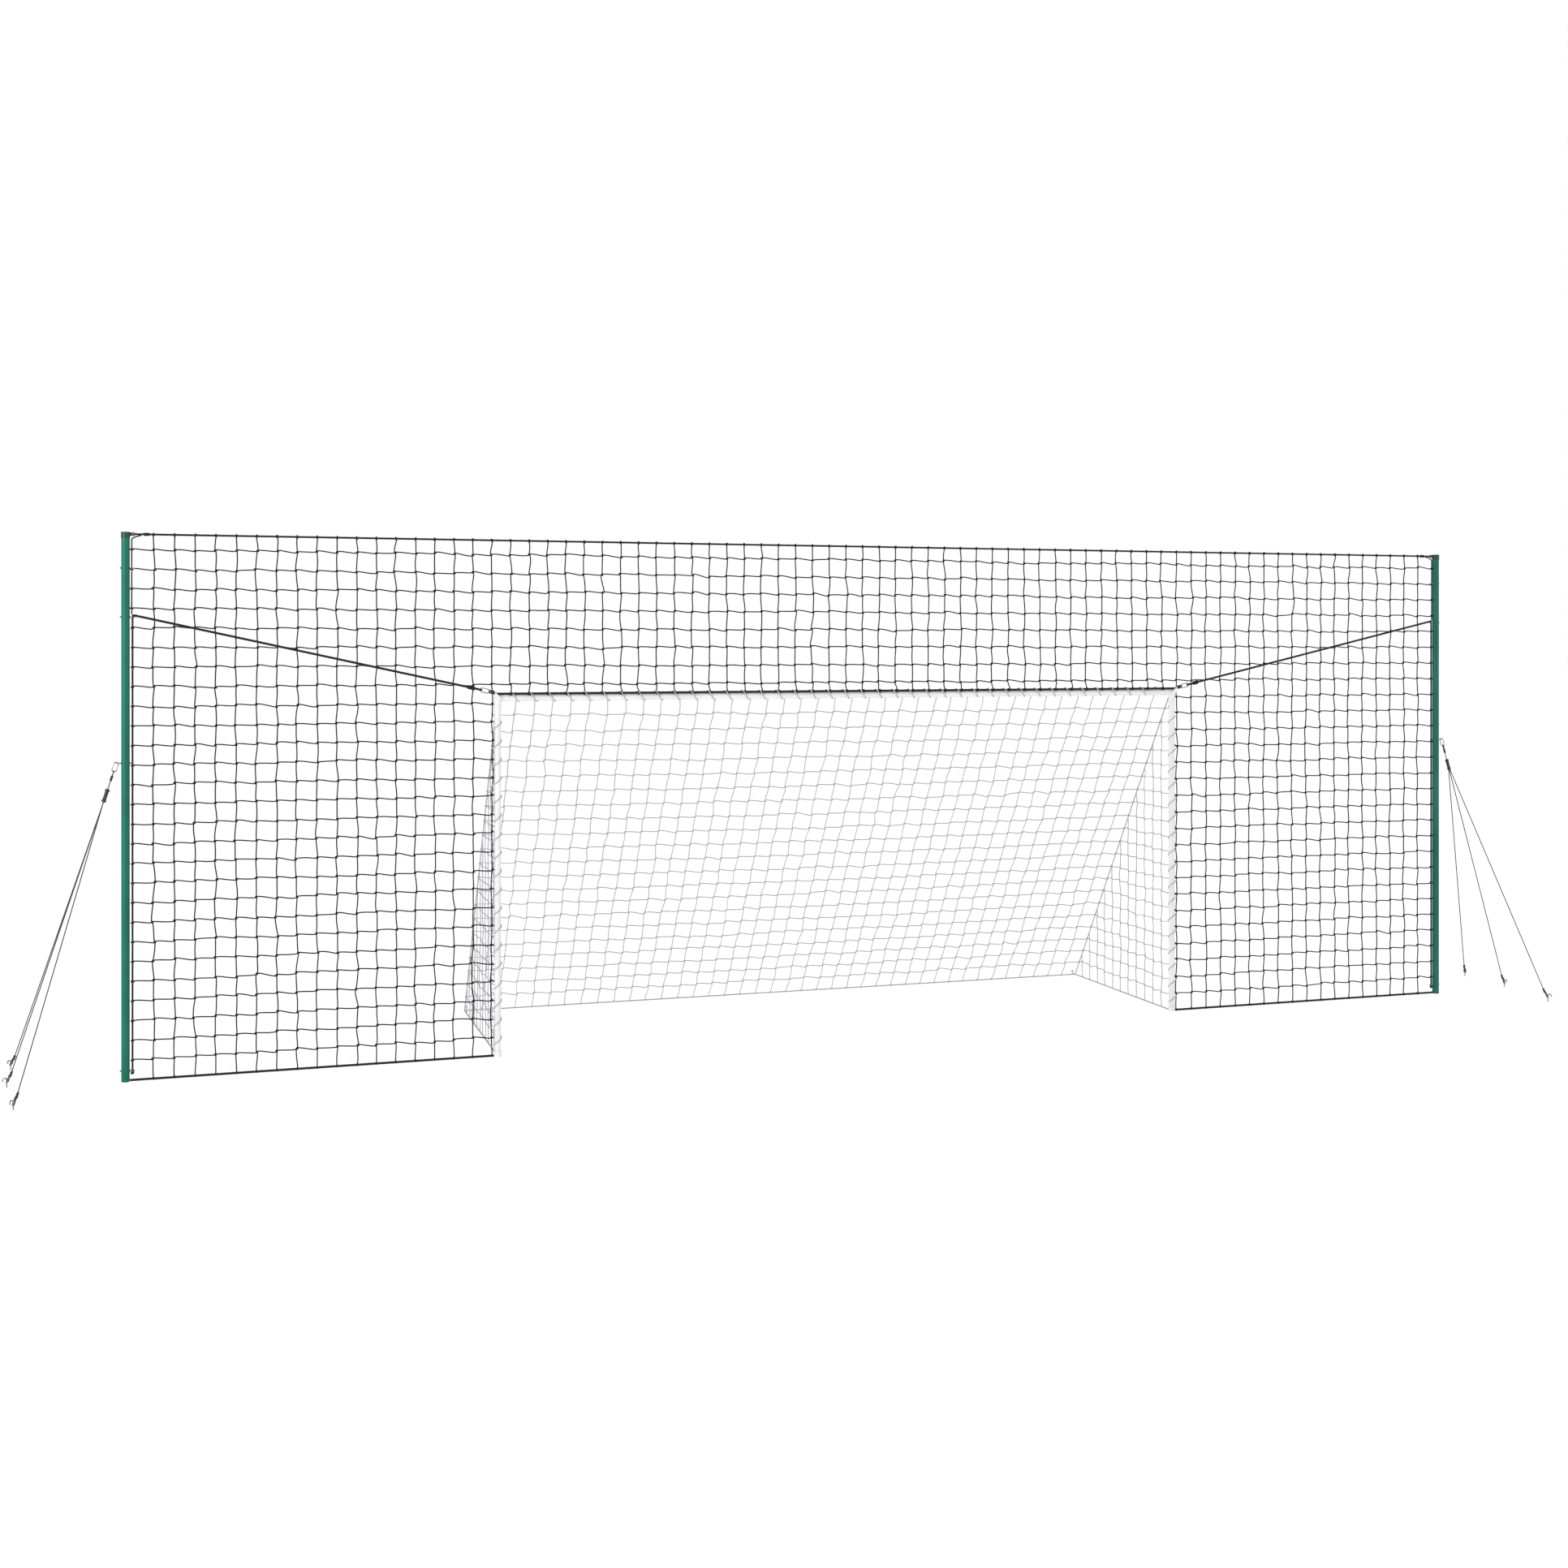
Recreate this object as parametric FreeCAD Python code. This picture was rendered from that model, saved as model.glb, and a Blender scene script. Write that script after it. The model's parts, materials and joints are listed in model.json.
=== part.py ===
import FreeCAD, Part
import math
import os

# Soccer goal with a wide backstop net, in millimetres.
#
# Two upright poles carry a wide square-mesh backstop. A white tube goal frame stands in its middle, with a
# net that runs back to the ground behind the mouth. Each pole is held by three guy ropes, and a rope from
# each pole pulls on the goal's top corner. +X is to the right seen from the front, +Y is away from the
# kicker, +Z is up, and z = 0 is the ground. "Local Y" below is measured from the plane of the backstop,
# and every part is moved by NET_Y at the end, which puts the origin under the middle of the whole object.

V = FreeCAD.Vector
X_AXIS = V(1, 0, 0)
Y_AXIS = V(0, 1, 0)
Z_AXIS = V(0, 0, 1)
SIDES = {"left": -1, "right": 1}

# ---- driving dimensions ----
POLE_X = 4267.0            # pole axis from the middle: 28 ft between the poles
POLE_HEIGHT = 3030.0       # ground to the top of the cap: about 10 ft
GOAL_NET_EDGE = 2250.0     # inner edge of each backstop wing
POST_X = 2216.0            # axis of each goal post
CROSSBAR_Z = 2097.0        # axis of the crossbar
GOAL_DEPTH = 1400.0        # backstop plane to the net's back hem
TOP_ROPE_Z = 3018.0
FIT = 0.05                 # radial clearance of tubes, plugs and pins that slide together
GAP = 0.3                  # distance between parts that only face each other
CLEAR = 1.0                # distance between soft parts, and how far a cutting tool runs past what it cuts

# ---- poles ----
POLE_R = 22.5
POLE_WALL = 2.0
POLE_BORE_R = POLE_R - POLE_WALL
JOINT_Z = 1650.0           # the upper pole section stands on the lower one's shoulder here
SPIGOT_LENGTH = 85.0
SPIGOT_R = POLE_BORE_R - FIT
SPIGOT_BORE_R = SPIGOT_R - POLE_WALL
SWAGE_LENGTH = 12.0
SWAGE_DROP = 2.0           # the spigot's bore runs this far below the joint
FOOT_FLANGE = 5.0
FOOT_CHAMFER = 1.5
PLUG_LENGTH = 30.0
PLUG_WALL = 3.0
CAP_R = 24.2
CAP_HEIGHT = 34.0
CAP_TOP = 4.0
CAP_FILLET = 3.0
CAP_LUG_REACH = 52.0
CAP_LUG_THICK = 6.0
CAP_LUG_HALF_HEIGHT = 10.0
CAP_LUG_HOLE_R = 5.5

# ---- spring button that locks the two pole sections ----
BUTTON_Z = 1692.0
BUTTON_HOLE_R = 4.0
BUTTON_TRAVEL = 5.6
BUTTON_TOP = POLE_R + 3.5
BUTTON_DOME = 1.5
COLLAR_R = 6.0
COLLAR_FROM = 15.2
COLLAR_TO = 16.8
CARRIER_Z = (1660.0, 1725.0)
CARRIER_BORE_FLOOR = 2.0

# ---- eye bolts through the poles ----
EYE_R = 11.0
EYE_WIRE_R = 2.75
EYE_X = 36.5               # eye centre from the pole's axis
SHANK_R = 3.0
SHANK_HOLE_R = 3.1
SHANK_END = 30.5
COLLAR_PLATE_R = 6.0
COLLAR_PLATE_THICK = 2.0
NUT_ACROSS = 10.0
NUT_HEIGHT = 5.0
GUY_EYE_Z = 1755.0
CORNER_EYE_Z = 2560.0
NET_EYE_Z = 2830.0
FOOT_EYE_Z = 60.0
INWARD_EYES_Z = (FOOT_EYE_Z, CORNER_EYE_Z, NET_EYE_Z)

# ---- goal frame ----
TUBE_R = 19.0
TUBE_WALL = 1.5
ELBOW_R = 21.5
ELBOW_REACH = 62.0
SOCKET_DEPTH = 40.0
POST_FOOT_R = 22.0
POST_FOOT_HEIGHT = 30.0
POST_FOOT_FLOOR = 4.0
LUG_Y = (-34.5, -29.5)
LUG_BOSS_R = 12.0
LUG_TIP_R = 9.0
LUG_HOLE_R = 5.0
LUG_TIP = V(2246.0, -32.0, 2130.0)   # the ring's hole, on the right side
RING_R = 13.0
RING_WIRE_R = 2.0
RING_SHIFT = 2.5           # the taut ring bears on the rim of its hole

# ---- spring hooks: a wire oval with a hinged gate ----
HOOK_BEND_R = 12.0
HOOK_WIRE_R = 3.0
HOOK_HALF = 15.0           # bend centre from the middle of the hook
GATE_R = 2.6
PIVOT_P = 12.3
TONGUE_R = 2.5
TONGUE_HALF_THICK = 1.0
CHEEK_IN = 1.1
CHEEK_OUT = 2.7
CHEEK_FROM = 6.5
TONGUE_ROOT = 2.0          # how far the tongue runs into the wire
GATE_GAP = 0.4             # from the tongue's end to the gate's rod
PIN_R = 1.0
HOOK_END = HOOK_HALF + HOOK_BEND_R + HOOK_WIRE_R
GUY_SEAT = HOOK_HALF + HOOK_BEND_R - HOOK_WIRE_R - EYE_WIRE_R        # hook's middle to its eye's wire
CORNER_SEAT = HOOK_HALF + HOOK_BEND_R - HOOK_WIRE_R - RING_WIRE_R    # hook's middle to its ring's wire

# ---- ropes ----
TOP_ROPE_R = 6.0
CORNER_ROPE_R = 7.0
HEM_ROPE_R = 7.0
SIDE_ROPE_R = 5.5
GUY_ROPE_R = 3.0
WHITE_ROPE_R = 4.0
LINTEL_RADIUS = 29.3       # the backstop's lower border rope, round the crossbar's axis
LINTEL_ANGLE = math.radians(58.0)
SIDE_ROPE_Z = (45.0, CORNER_EYE_Z + 4.0)
# The side rope comes up through the eye and bends over its wire: inward from the pole's axis, local Y, height.
CORNER_ROPE_START = V(50.0, -9.7, CORNER_EYE_Z + 9.0)

# ---- guy ropes ----
# Each peg's place from the foot of its pole: outward, and back.
GUY_PEGS = {"front": (530.0, -485.0), "middle": (610.0, 50.0), "back": (630.0, 500.0)}
GUY_AIM = (600.0, 20.0)    # where the leader's line would meet the ground
TENSIONER_FROM = 148.0     # from the eye, along the leader
TENSIONER_LENGTH = 75.0
TENSIONER_R = 12.0
TENSIONER_WAIST_R = 10.0
TENSIONER_END = 14.0
TENSIONER_CHAMFER = 2.0
GUY_SPACING = 8.0          # between the three ropes where they leave the tensioner
GUY_START = 1.4
GUY_END_Z = 30.0
PEG_R = 4.0
PEG_NECK_Z = 40.0
PEG_BEND_R = 11.0
PEG_TAIL = 8.0
NET_PEG_R = 3.0
NET_PEG_NECK_Z = 22.0
NET_PEG_BEND_R = 8.0
NET_PEG_TAIL = 6.0
NET_PEG_Y = GOAL_DEPTH + WHITE_ROPE_R + NET_PEG_R + CLEAR

# ---- nets: thin closed plates with the outline of each panel ----
NET_HALF = 0.75
NET_TOP = TOP_ROPE_Z - TOP_ROPE_R - CLEAR
WING_OUTER = POLE_X - CAP_LUG_REACH
WING_BOTTOM = 2 * HEM_ROPE_R + CLEAR
HEADER_BOTTOM = CROSSBAR_Z + LINTEL_RADIUS * math.sin(LINTEL_ANGLE) + HEM_ROPE_R + CLEAR
SEAM_TOP = V(0, 27.0, 2084.0)
SEAM_BOTTOM = V(0, GOAL_DEPTH - 6.0, 2 * WHITE_ROPE_R + 5.0)
PANEL_BOTTOM = 2 * WHITE_ROPE_R + CLEAR
BACK_PANEL_LOW = PANEL_BOTTOM + 6.0      # height of the back panel's lower edge
SIDE_PANEL_LOW = PANEL_BOTTOM + 20.0     # height of a side panel's back corner
SIDE_PANEL_HIGH = SEAM_TOP.z - 60.0

# ---- the whole object's reach in front of and behind the backstop sets the origin ----
FRONT_RUN = math.hypot(*GUY_PEGS["front"])
FRONT_REACH = (-GUY_PEGS["front"][1]) * (1 + 2 * PEG_BEND_R / FRONT_RUN) + PEG_R
BACK_REACH = NET_PEG_Y + 2 * NET_PEG_BEND_R + NET_PEG_R
NET_Y = (FRONT_REACH - BACK_REACH) / 2


# ---- helpers ----

def unit(vector):
    """The vector at length 1."""
    return vector * (1.0 / vector.Length)


def rod(start, end, radius):
    """A round bar between two points."""
    return Part.makeCylinder(radius, (end - start).Length, start, end - start)


def tube(base, height, outer, inner):
    """An upright tube that stands on a point."""
    return Part.makeCylinder(outer, height, base).cut(Part.makeCylinder(inner, height, base))


def fuse(*shapes):
    """One clean solid from several that overlap."""
    whole = shapes[0]
    for shape in shapes[1:]:
        whole = whole.fuse(shape)
    return whole.removeSplitter()


def placed(shape, origin, p_axis, q_axis):
    """The shape, drawn in local p, q, n axes, moved to a place in the object."""
    n_axis = p_axis.cross(q_axis)
    matrix = FreeCAD.Matrix(p_axis.x, q_axis.x, n_axis.x, origin.x,
                            p_axis.y, q_axis.y, n_axis.y, origin.y,
                            p_axis.z, q_axis.z, n_axis.z, origin.z,
                            0, 0, 0, 1)
    return shape.transformed(matrix, copy=True)


def slab(points, direction, half):
    """A flat plate with the given outline, as thick to both sides of it."""
    wire = Part.makePolygon([point - direction * half for point in points + points[:1]])
    return Part.Face(wire).extrude(direction * (2 * half))


def bent_wire(edges, radius):
    """A round wire that follows tangent lines and arcs."""
    path = Part.Wire(edges)
    start = path.OrderedVertexes[0].Point
    first = path.OrderedEdges[0]
    tangent = first.tangentAt(first.FirstParameter)
    profile = Part.Wire([Part.makeCircle(radius, start, tangent)])
    return path.makePipeShell([profile], True, True)


def export(name, shape):
    """Moves a part from the backstop's plane to the object's frame and writes it."""
    moved = shape.copy()
    moved.translate(V(0, NET_Y, 0))
    moved.exportStep("parts/" + name + ".step")


# ---- poles ----

def pole_lower(side):
    """Lower section: a tube whose swaged top end goes up into the upper section."""
    top = JOINT_Z + SPIGOT_LENGTH
    outline = [V(POLE_BORE_R, 0, FOOT_FLANGE), V(POLE_R, 0, FOOT_FLANGE), V(POLE_R, 0, JOINT_Z),
               V(SPIGOT_R, 0, JOINT_Z), V(SPIGOT_R, 0, top), V(SPIGOT_BORE_R, 0, top),
               V(SPIGOT_BORE_R, 0, JOINT_Z - SWAGE_DROP),
               V(POLE_BORE_R, 0, JOINT_Z - SWAGE_DROP - SWAGE_LENGTH)]
    wall = Part.Face(Part.makePolygon(outline + outline[:1]))
    body = wall.revolve(V(0, 0, 0), Z_AXIS, 360)
    body = body.cut(rod(V(0, 0, BUTTON_Z), V(0, POLE_R + CLEAR, BUTTON_Z), BUTTON_HOLE_R))
    body = body.cut(shank_hole(FOOT_EYE_Z))
    body.translate(V(side * POLE_X, 0, 0))
    return body


def pole_upper(side):
    """Upper section, with holes for the button and for three eye bolts."""
    top = POLE_HEIGHT - CAP_TOP
    body = tube(V(0, 0, JOINT_Z), top - JOINT_Z, POLE_R, POLE_BORE_R)
    body = body.cut(rod(V(0, 0, BUTTON_Z), V(0, POLE_R + CLEAR, BUTTON_Z), BUTTON_HOLE_R))
    for height in (GUY_EYE_Z, CORNER_EYE_Z, NET_EYE_Z):
        body = body.cut(shank_hole(height))
    body.translate(V(side * POLE_X, 0, 0))
    return body


def shank_hole(height):
    """A hole right through a pole for an eye bolt."""
    return rod(V(-POLE_R - CLEAR, 0, height), V(POLE_R + CLEAR, 0, height), SHANK_HOLE_R)


def pole_foot(side):
    """A plug with a flange that closes the foot of a pole."""
    base = V(side * POLE_X, 0, 0)
    flange = Part.makeCylinder(POLE_R, FOOT_FLANGE, base)
    flange = flange.makeChamfer(FOOT_CHAMFER, [flange.Edges[2]])
    plug = Part.makeCylinder(POLE_BORE_R - FIT, FOOT_FLANGE + PLUG_LENGTH, base)
    core = Part.makeCylinder(POLE_BORE_R - PLUG_WALL, PLUG_LENGTH, base + V(0, 0, FOOT_FLANGE))
    return fuse(flange, plug).cut(core)


def pole_cap(side):
    """A cap over the pole's top end, with a lug that the top rope is tied through."""
    bottom = POLE_HEIGHT - CAP_HEIGHT
    body = Part.makeCylinder(CAP_R, CAP_HEIGHT, V(0, 0, bottom))
    rim = [edge for edge in body.Edges if edge.BoundBox.ZMin > POLE_HEIGHT - FIT and len(edge.Vertexes) == 1]
    body = body.makeFillet(CAP_FILLET, rim)
    arm = Part.makeBox(CAP_LUG_REACH - CAP_LUG_HALF_HEIGHT, CAP_LUG_THICK, 2 * CAP_LUG_HALF_HEIGHT,
                       V(0, -CAP_LUG_THICK / 2, TOP_ROPE_Z - CAP_LUG_HALF_HEIGHT))
    centre = V(CAP_LUG_REACH - CAP_LUG_HALF_HEIGHT, CAP_LUG_THICK / 2, TOP_ROPE_Z)
    tip = rod(centre, centre - Y_AXIS * CAP_LUG_THICK, CAP_LUG_HALF_HEIGHT)
    body = fuse(body, arm, tip)
    body = body.cut(rod(centre + Y_AXIS, centre - Y_AXIS * (CAP_LUG_THICK + CLEAR), CAP_LUG_HOLE_R))
    body = body.cut(Part.makeCylinder(POLE_R + FIT, CAP_HEIGHT - CAP_TOP, V(0, 0, bottom)))
    if side > 0:
        body.rotate(V(0, 0, 0), Z_AXIS, 180)
    body.translate(V(side * POLE_X, 0, 0))
    return body


def button_carrier(side):
    """A plug in the spigot with a cross bore that the button slides in."""
    low, high = CARRIER_Z
    body = Part.makeCylinder(SPIGOT_BORE_R - FIT, high - low, V(0, 0, low))
    bore = rod(V(0, CARRIER_BORE_FLOOR, BUTTON_Z), V(0, POLE_R, BUTTON_Z), COLLAR_R + FIT)
    body = body.cut(bore)
    body.translate(V(side * POLE_X, 0, 0))
    return body


def pole_button(side):
    """The button: a collar that stays behind the spigot's wall, a stem and a domed end."""
    stem_r = BUTTON_HOLE_R - FIT
    collar = rod(V(0, COLLAR_FROM, BUTTON_Z), V(0, COLLAR_TO, BUTTON_Z), COLLAR_R)
    stem = rod(V(0, COLLAR_FROM, BUTTON_Z), V(0, BUTTON_TOP, BUTTON_Z), stem_r)
    end_edges = [edge for edge in stem.Edges if edge.BoundBox.YMin > BUTTON_TOP - FIT]
    stem = stem.makeFillet(BUTTON_DOME, end_edges)
    body = fuse(collar, stem)
    body.translate(V(side * POLE_X, 0, 0))
    return body


# ---- eye bolts and nuts ----

def eye_bolt(side, height, outward):
    """An eye bolt through a pole. The eye lies flat, so a rope or hook goes through it from above."""
    way = side * outward
    eye = Part.makeTorus(EYE_R, EYE_WIRE_R, V(way * EYE_X, 0, height), Z_AXIS)
    shank = rod(V(-way * SHANK_END, 0, height), V(way * (EYE_X - EYE_R), 0, height), SHANK_R)
    plate = rod(V(way * POLE_R, 0, height), V(way * (POLE_R + COLLAR_PLATE_THICK), 0, height), COLLAR_PLATE_R)
    body = fuse(shank, plate, eye)
    body.translate(V(side * POLE_X, 0, 0))
    return body


def eye_nut(side, height, outward):
    """The hexagon nut on the other side of the pole."""
    way = -side * outward
    corners = [V(0, NUT_ACROSS / math.sqrt(3) * math.cos(math.radians(60 * k)),
                 NUT_ACROSS / math.sqrt(3) * math.sin(math.radians(60 * k))) for k in range(6)]
    hexagon = Part.Face(Part.makePolygon(corners + corners[:1]))
    body = hexagon.extrude(V(way * NUT_HEIGHT, 0, 0))
    body = body.cut(rod(V(-way, 0, 0), V(way * (NUT_HEIGHT + CLEAR), 0, 0), SHANK_R + FIT))
    body.translate(V(side * POLE_X + way * POLE_R, 0, height))
    return body


def on_each_pole(make):
    """One node with the same fastener at every eye of both poles."""
    solids = []
    for side in SIDES.values():
        solids.append(make(side, GUY_EYE_Z, 1))
        for height in INWARD_EYES_Z:
            solids.append(make(side, height, -1))
    return Part.makeCompound(solids)


# ---- spring hooks ----
# Local axes: p along the hook from the loaded end to the rope end, q from its spine to its gate.

def hook_body():
    """The hook's wire: both bends and the spine, with a tongue for the gate's pivot."""
    nose = V(-HOOK_HALF, HOOK_BEND_R, 0)
    far_spine = V(-HOOK_HALF, -HOOK_BEND_R, 0)
    near_spine = V(HOOK_HALF, -HOOK_BEND_R, 0)
    root = V(HOOK_HALF, HOOK_BEND_R, 0)
    edges = [Part.Arc(nose, V(-HOOK_HALF - HOOK_BEND_R, 0, 0), far_spine).toShape(),
             Part.LineSegment(far_spine, near_spine).toShape(),
             Part.Arc(near_spine, V(HOOK_HALF + HOOK_BEND_R, 0, 0), root).toShape()]
    wire = bent_wire(edges, HOOK_WIRE_R)
    pivot = V(PIVOT_P, HOOK_BEND_R, -TONGUE_HALF_THICK)
    tongue_end = Part.makeCylinder(TONGUE_R, 2 * TONGUE_HALF_THICK, pivot)
    tongue = Part.makeBox(HOOK_HALF + TONGUE_ROOT - PIVOT_P, 2 * TONGUE_R, 2 * TONGUE_HALF_THICK,
                          pivot - V(0, TONGUE_R, 0))
    body = fuse(wire, tongue, tongue_end)
    return body.cut(Part.makeCylinder(PIN_R + FIT, 2 * TONGUE_HALF_THICK, pivot))


def hook_gate():
    """The gate: a rod with a fork and a pin that straddle the tongue."""
    pivot = V(PIVOT_P, HOOK_BEND_R, 0)
    tip = V(-HOOK_HALF + GAP, HOOK_BEND_R, 0)
    gate = rod(tip, pivot - V(TONGUE_R + GATE_GAP, 0, 0), GATE_R)
    cheeks = []
    for low in (CHEEK_IN, -CHEEK_OUT):
        base = pivot + V(0, 0, low)
        thick = CHEEK_OUT - CHEEK_IN
        cheeks.append(Part.makeCylinder(TONGUE_R, thick, base))
        cheeks.append(Part.makeBox(PIVOT_P - CHEEK_FROM, 2 * TONGUE_R, thick,
                                   base - V(PIVOT_P - CHEEK_FROM, TONGUE_R, 0)))
    pin = Part.makeCylinder(PIN_R, 2 * CHEEK_OUT, pivot - V(0, 0, CHEEK_OUT))
    return fuse(gate, pin, *cheeks)


def guy_frame(side):
    """The guy hook's place: its middle, its p axis down the leader, and its q axis outward."""
    eye = V(side * (POLE_X + EYE_X + EYE_R), 0, GUY_EYE_Z)
    aim = V(side * (POLE_X + GUY_AIM[0]), GUY_AIM[1], 0)
    p_axis = unit(aim - eye)
    q_axis = unit(V(side, 0, 0) - p_axis * (side * p_axis.x))
    return eye + p_axis * GUY_SEAT, p_axis, q_axis


def corner_line(side):
    """The ring's hole in the goal corner's lug, and the direction from it to the pole's eye."""
    hole = V(side * LUG_TIP.x, LUG_TIP.y, LUG_TIP.z)
    start = V(side * (POLE_X - CORNER_ROPE_START.x), CORNER_ROPE_START.y, CORNER_ROPE_START.z)
    return hole, start, unit(start - hole)


def corner_frame(side):
    """The corner hook's place: its middle, its p axis up the rope, and its q axis upward."""
    hole, start, p_axis = corner_line(side)
    q_axis = unit(Z_AXIS - p_axis * p_axis.z)
    return hole + p_axis * (RING_SHIFT + 2 * RING_R + CORNER_SEAT), p_axis, q_axis


def corner_ring(side):
    """The welded ring in the lug, turned square to the lug and to the hook."""
    hole, start, along = corner_line(side)
    across = unit(Z_AXIS - along * along.z)
    return Part.makeTorus(RING_R, RING_WIRE_R, hole + along * (RING_SHIFT + RING_R), across)


# ---- goal frame ----

def goal_post(side):
    """A white upright tube."""
    top = CROSSBAR_Z - (ELBOW_REACH - SOCKET_DEPTH)
    return tube(V(side * POST_X, 0, POST_FOOT_FLOOR), top - POST_FOOT_FLOOR, TUBE_R, TUBE_R - TUBE_WALL)


def crossbar():
    """The white tube between the two elbows."""
    half = POST_X - (ELBOW_REACH - SOCKET_DEPTH)
    ends = V(-half, 0, CROSSBAR_Z), V(half, 0, CROSSBAR_Z)
    return rod(ends[0], ends[1], TUBE_R).cut(rod(ends[0], ends[1], TUBE_R - TUBE_WALL))


def goal_elbow(side):
    """A corner fitting: two sockets on a round knuckle, and a lug in front for the ring."""
    knuckle = V(side * POST_X, 0, CROSSBAR_Z)
    down = knuckle - Z_AXIS * ELBOW_REACH
    inward = knuckle - X_AXIS * (side * ELBOW_REACH)
    body = fuse(rod(knuckle, down, ELBOW_R), rod(knuckle, inward, ELBOW_R),
                Part.makeSphere(ELBOW_R, knuckle))
    body = body.cut(rod(down, down + Z_AXIS * SOCKET_DEPTH, TUBE_R + FIT))
    body = body.cut(rod(inward, inward + X_AXIS * (side * SOCKET_DEPTH), TUBE_R + FIT))
    front, back = LUG_Y
    half = (back - front) / 2
    root = V(knuckle.x, front + half, knuckle.z)
    tip = V(side * LUG_TIP.x, front + half, LUG_TIP.z)
    along = unit(tip - root)
    up = V(-along.z, 0, along.x)
    outline = [root + up * LUG_BOSS_R, tip + up * LUG_TIP_R, tip - up * LUG_TIP_R, root - up * LUG_BOSS_R]
    web = slab(outline, Y_AXIS, half)
    boss = rod(root - Y_AXIS * half, V(knuckle.x, -ELBOW_R / 2, knuckle.z), LUG_BOSS_R)
    end = rod(tip - Y_AXIS * half, tip + Y_AXIS * half, LUG_TIP_R)
    hole = rod(tip - Y_AXIS * (half + CLEAR), tip + Y_AXIS * (half + CLEAR), LUG_HOLE_R)
    return fuse(body, boss, web, end).cut(hole)


def goal_post_foot(side):
    """A round shoe under a post."""
    base = V(side * POST_X, 0, 0)
    body = Part.makeCylinder(POST_FOOT_R, POST_FOOT_HEIGHT, base)
    bore = Part.makeCylinder(TUBE_R + FIT, POST_FOOT_HEIGHT, base + V(0, 0, POST_FOOT_FLOOR))
    return body.cut(bore)


# ---- backstop net and its ropes ----

def wing_net(side):
    """One side of the backstop, from the pole to the goal."""
    outline = [V(side * GOAL_NET_EDGE, 0, WING_BOTTOM), V(side * WING_OUTER, 0, WING_BOTTOM),
               V(side * WING_OUTER, 0, NET_TOP), V(side * GOAL_NET_EDGE, 0, NET_TOP)]
    return slab(outline, Y_AXIS, NET_HALF)


def header_net():
    """The backstop above the goal."""
    half = GOAL_NET_EDGE - CLEAR
    outline = [V(-half, 0, HEADER_BOTTOM), V(half, 0, HEADER_BOTTOM), V(half, 0, NET_TOP), V(-half, 0, NET_TOP)]
    return slab(outline, Y_AXIS, NET_HALF)


def top_rope():
    """The taut rope along the top, from cap lug to cap lug."""
    half = POLE_X - CAP_LUG_REACH - GAP
    return rod(V(-half, 0, TOP_ROPE_Z), V(half, 0, TOP_ROPE_Z), TOP_ROPE_R)


def lintel_rope():
    """The backstop's lower border rope, laid on the upper front of the crossbar."""
    half = POST_X + TUBE_R
    y = -LINTEL_RADIUS * math.cos(LINTEL_ANGLE)
    z = CROSSBAR_Z + LINTEL_RADIUS * math.sin(LINTEL_ANGLE)
    return rod(V(-half, y, z), V(half, y, z), HEM_ROPE_R)


def wing_hem_rope(side):
    """The border rope along the ground, from the pole's foot to the goal post's shoe."""
    start = V(side * (POLE_X - POLE_R - CLEAR), 0, HEM_ROPE_R)
    end = V(side * (POST_X + POST_FOOT_R + CLEAR), 0, HEM_ROPE_R)
    return rod(start, end, HEM_ROPE_R)


def side_rope(side):
    """The rope down the inner side of a pole, through the eyes."""
    x = side * (POLE_X - EYE_X)
    return rod(V(x, 0, SIDE_ROPE_Z[0]), V(x, 0, SIDE_ROPE_Z[1]), SIDE_ROPE_R)


def corner_rope(side):
    """The taut rope from the pole's eye down to the goal corner's hook."""
    start = corner_line(side)[1]
    centre, p_axis, q_axis = corner_frame(side)
    return rod(start, centre + p_axis * (HOOK_END + GAP), CORNER_ROPE_R)


# ---- goal net ----

def slope_point(height, away=0.0):
    """A point on the slope from the crossbar to the back hem, at a height, and a distance below it."""
    fall = unit(SEAM_BOTTOM - SEAM_TOP)
    below = V(0, fall.z, -fall.y)
    share = (height - SEAM_TOP.z) / (SEAM_BOTTOM.z - SEAM_TOP.z)
    on_slope = SEAM_TOP + (SEAM_BOTTOM - SEAM_TOP) * share
    return on_slope + below * away


def goal_net_back():
    """The sloping back panel between the two seams."""
    half = POST_X - WHITE_ROPE_R - 2 * CLEAR
    low, high = slope_point(BACK_PANEL_LOW), slope_point(SEAM_TOP.z)
    outline = [V(-half, low.y, low.z), V(half, low.y, low.z), V(half, high.y, high.z), V(-half, high.y, high.z)]
    normal = (outline[1] - outline[0]).cross(outline[2] - outline[1])
    return slab(outline, unit(normal), NET_HALF)


def goal_net_side(side):
    """A triangular side panel between the post, the ground and the seam."""
    inset = WHITE_ROPE_R + CLEAR
    high = slope_point(SIDE_PANEL_HIGH, inset)
    low = slope_point(SIDE_PANEL_LOW, inset)
    x = side * POST_X
    front_y = POST_FOOT_R + 2 * CLEAR
    outline = [V(x, front_y, PANEL_BOTTOM), V(x, low.y, PANEL_BOTTOM), V(x, low.y, low.z),
               V(x, high.y, high.z), V(x, front_y, high.z)]
    return slab(outline, X_AXIS, NET_HALF)


def goal_seam_rope(side):
    """The rope in the seam between the side and the back, from the elbow to the ground."""
    shift = X_AXIS * (side * POST_X)
    return rod(SEAM_TOP + shift, SEAM_BOTTOM + shift, WHITE_ROPE_R)


def goal_side_hem(side):
    """The rope along the ground under a side panel."""
    x = side * POST_X
    start = V(x, POST_FOOT_R + CLEAR, WHITE_ROPE_R)
    return rod(start, V(x, GOAL_DEPTH - WHITE_ROPE_R - CLEAR, WHITE_ROPE_R), WHITE_ROPE_R)


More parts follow.
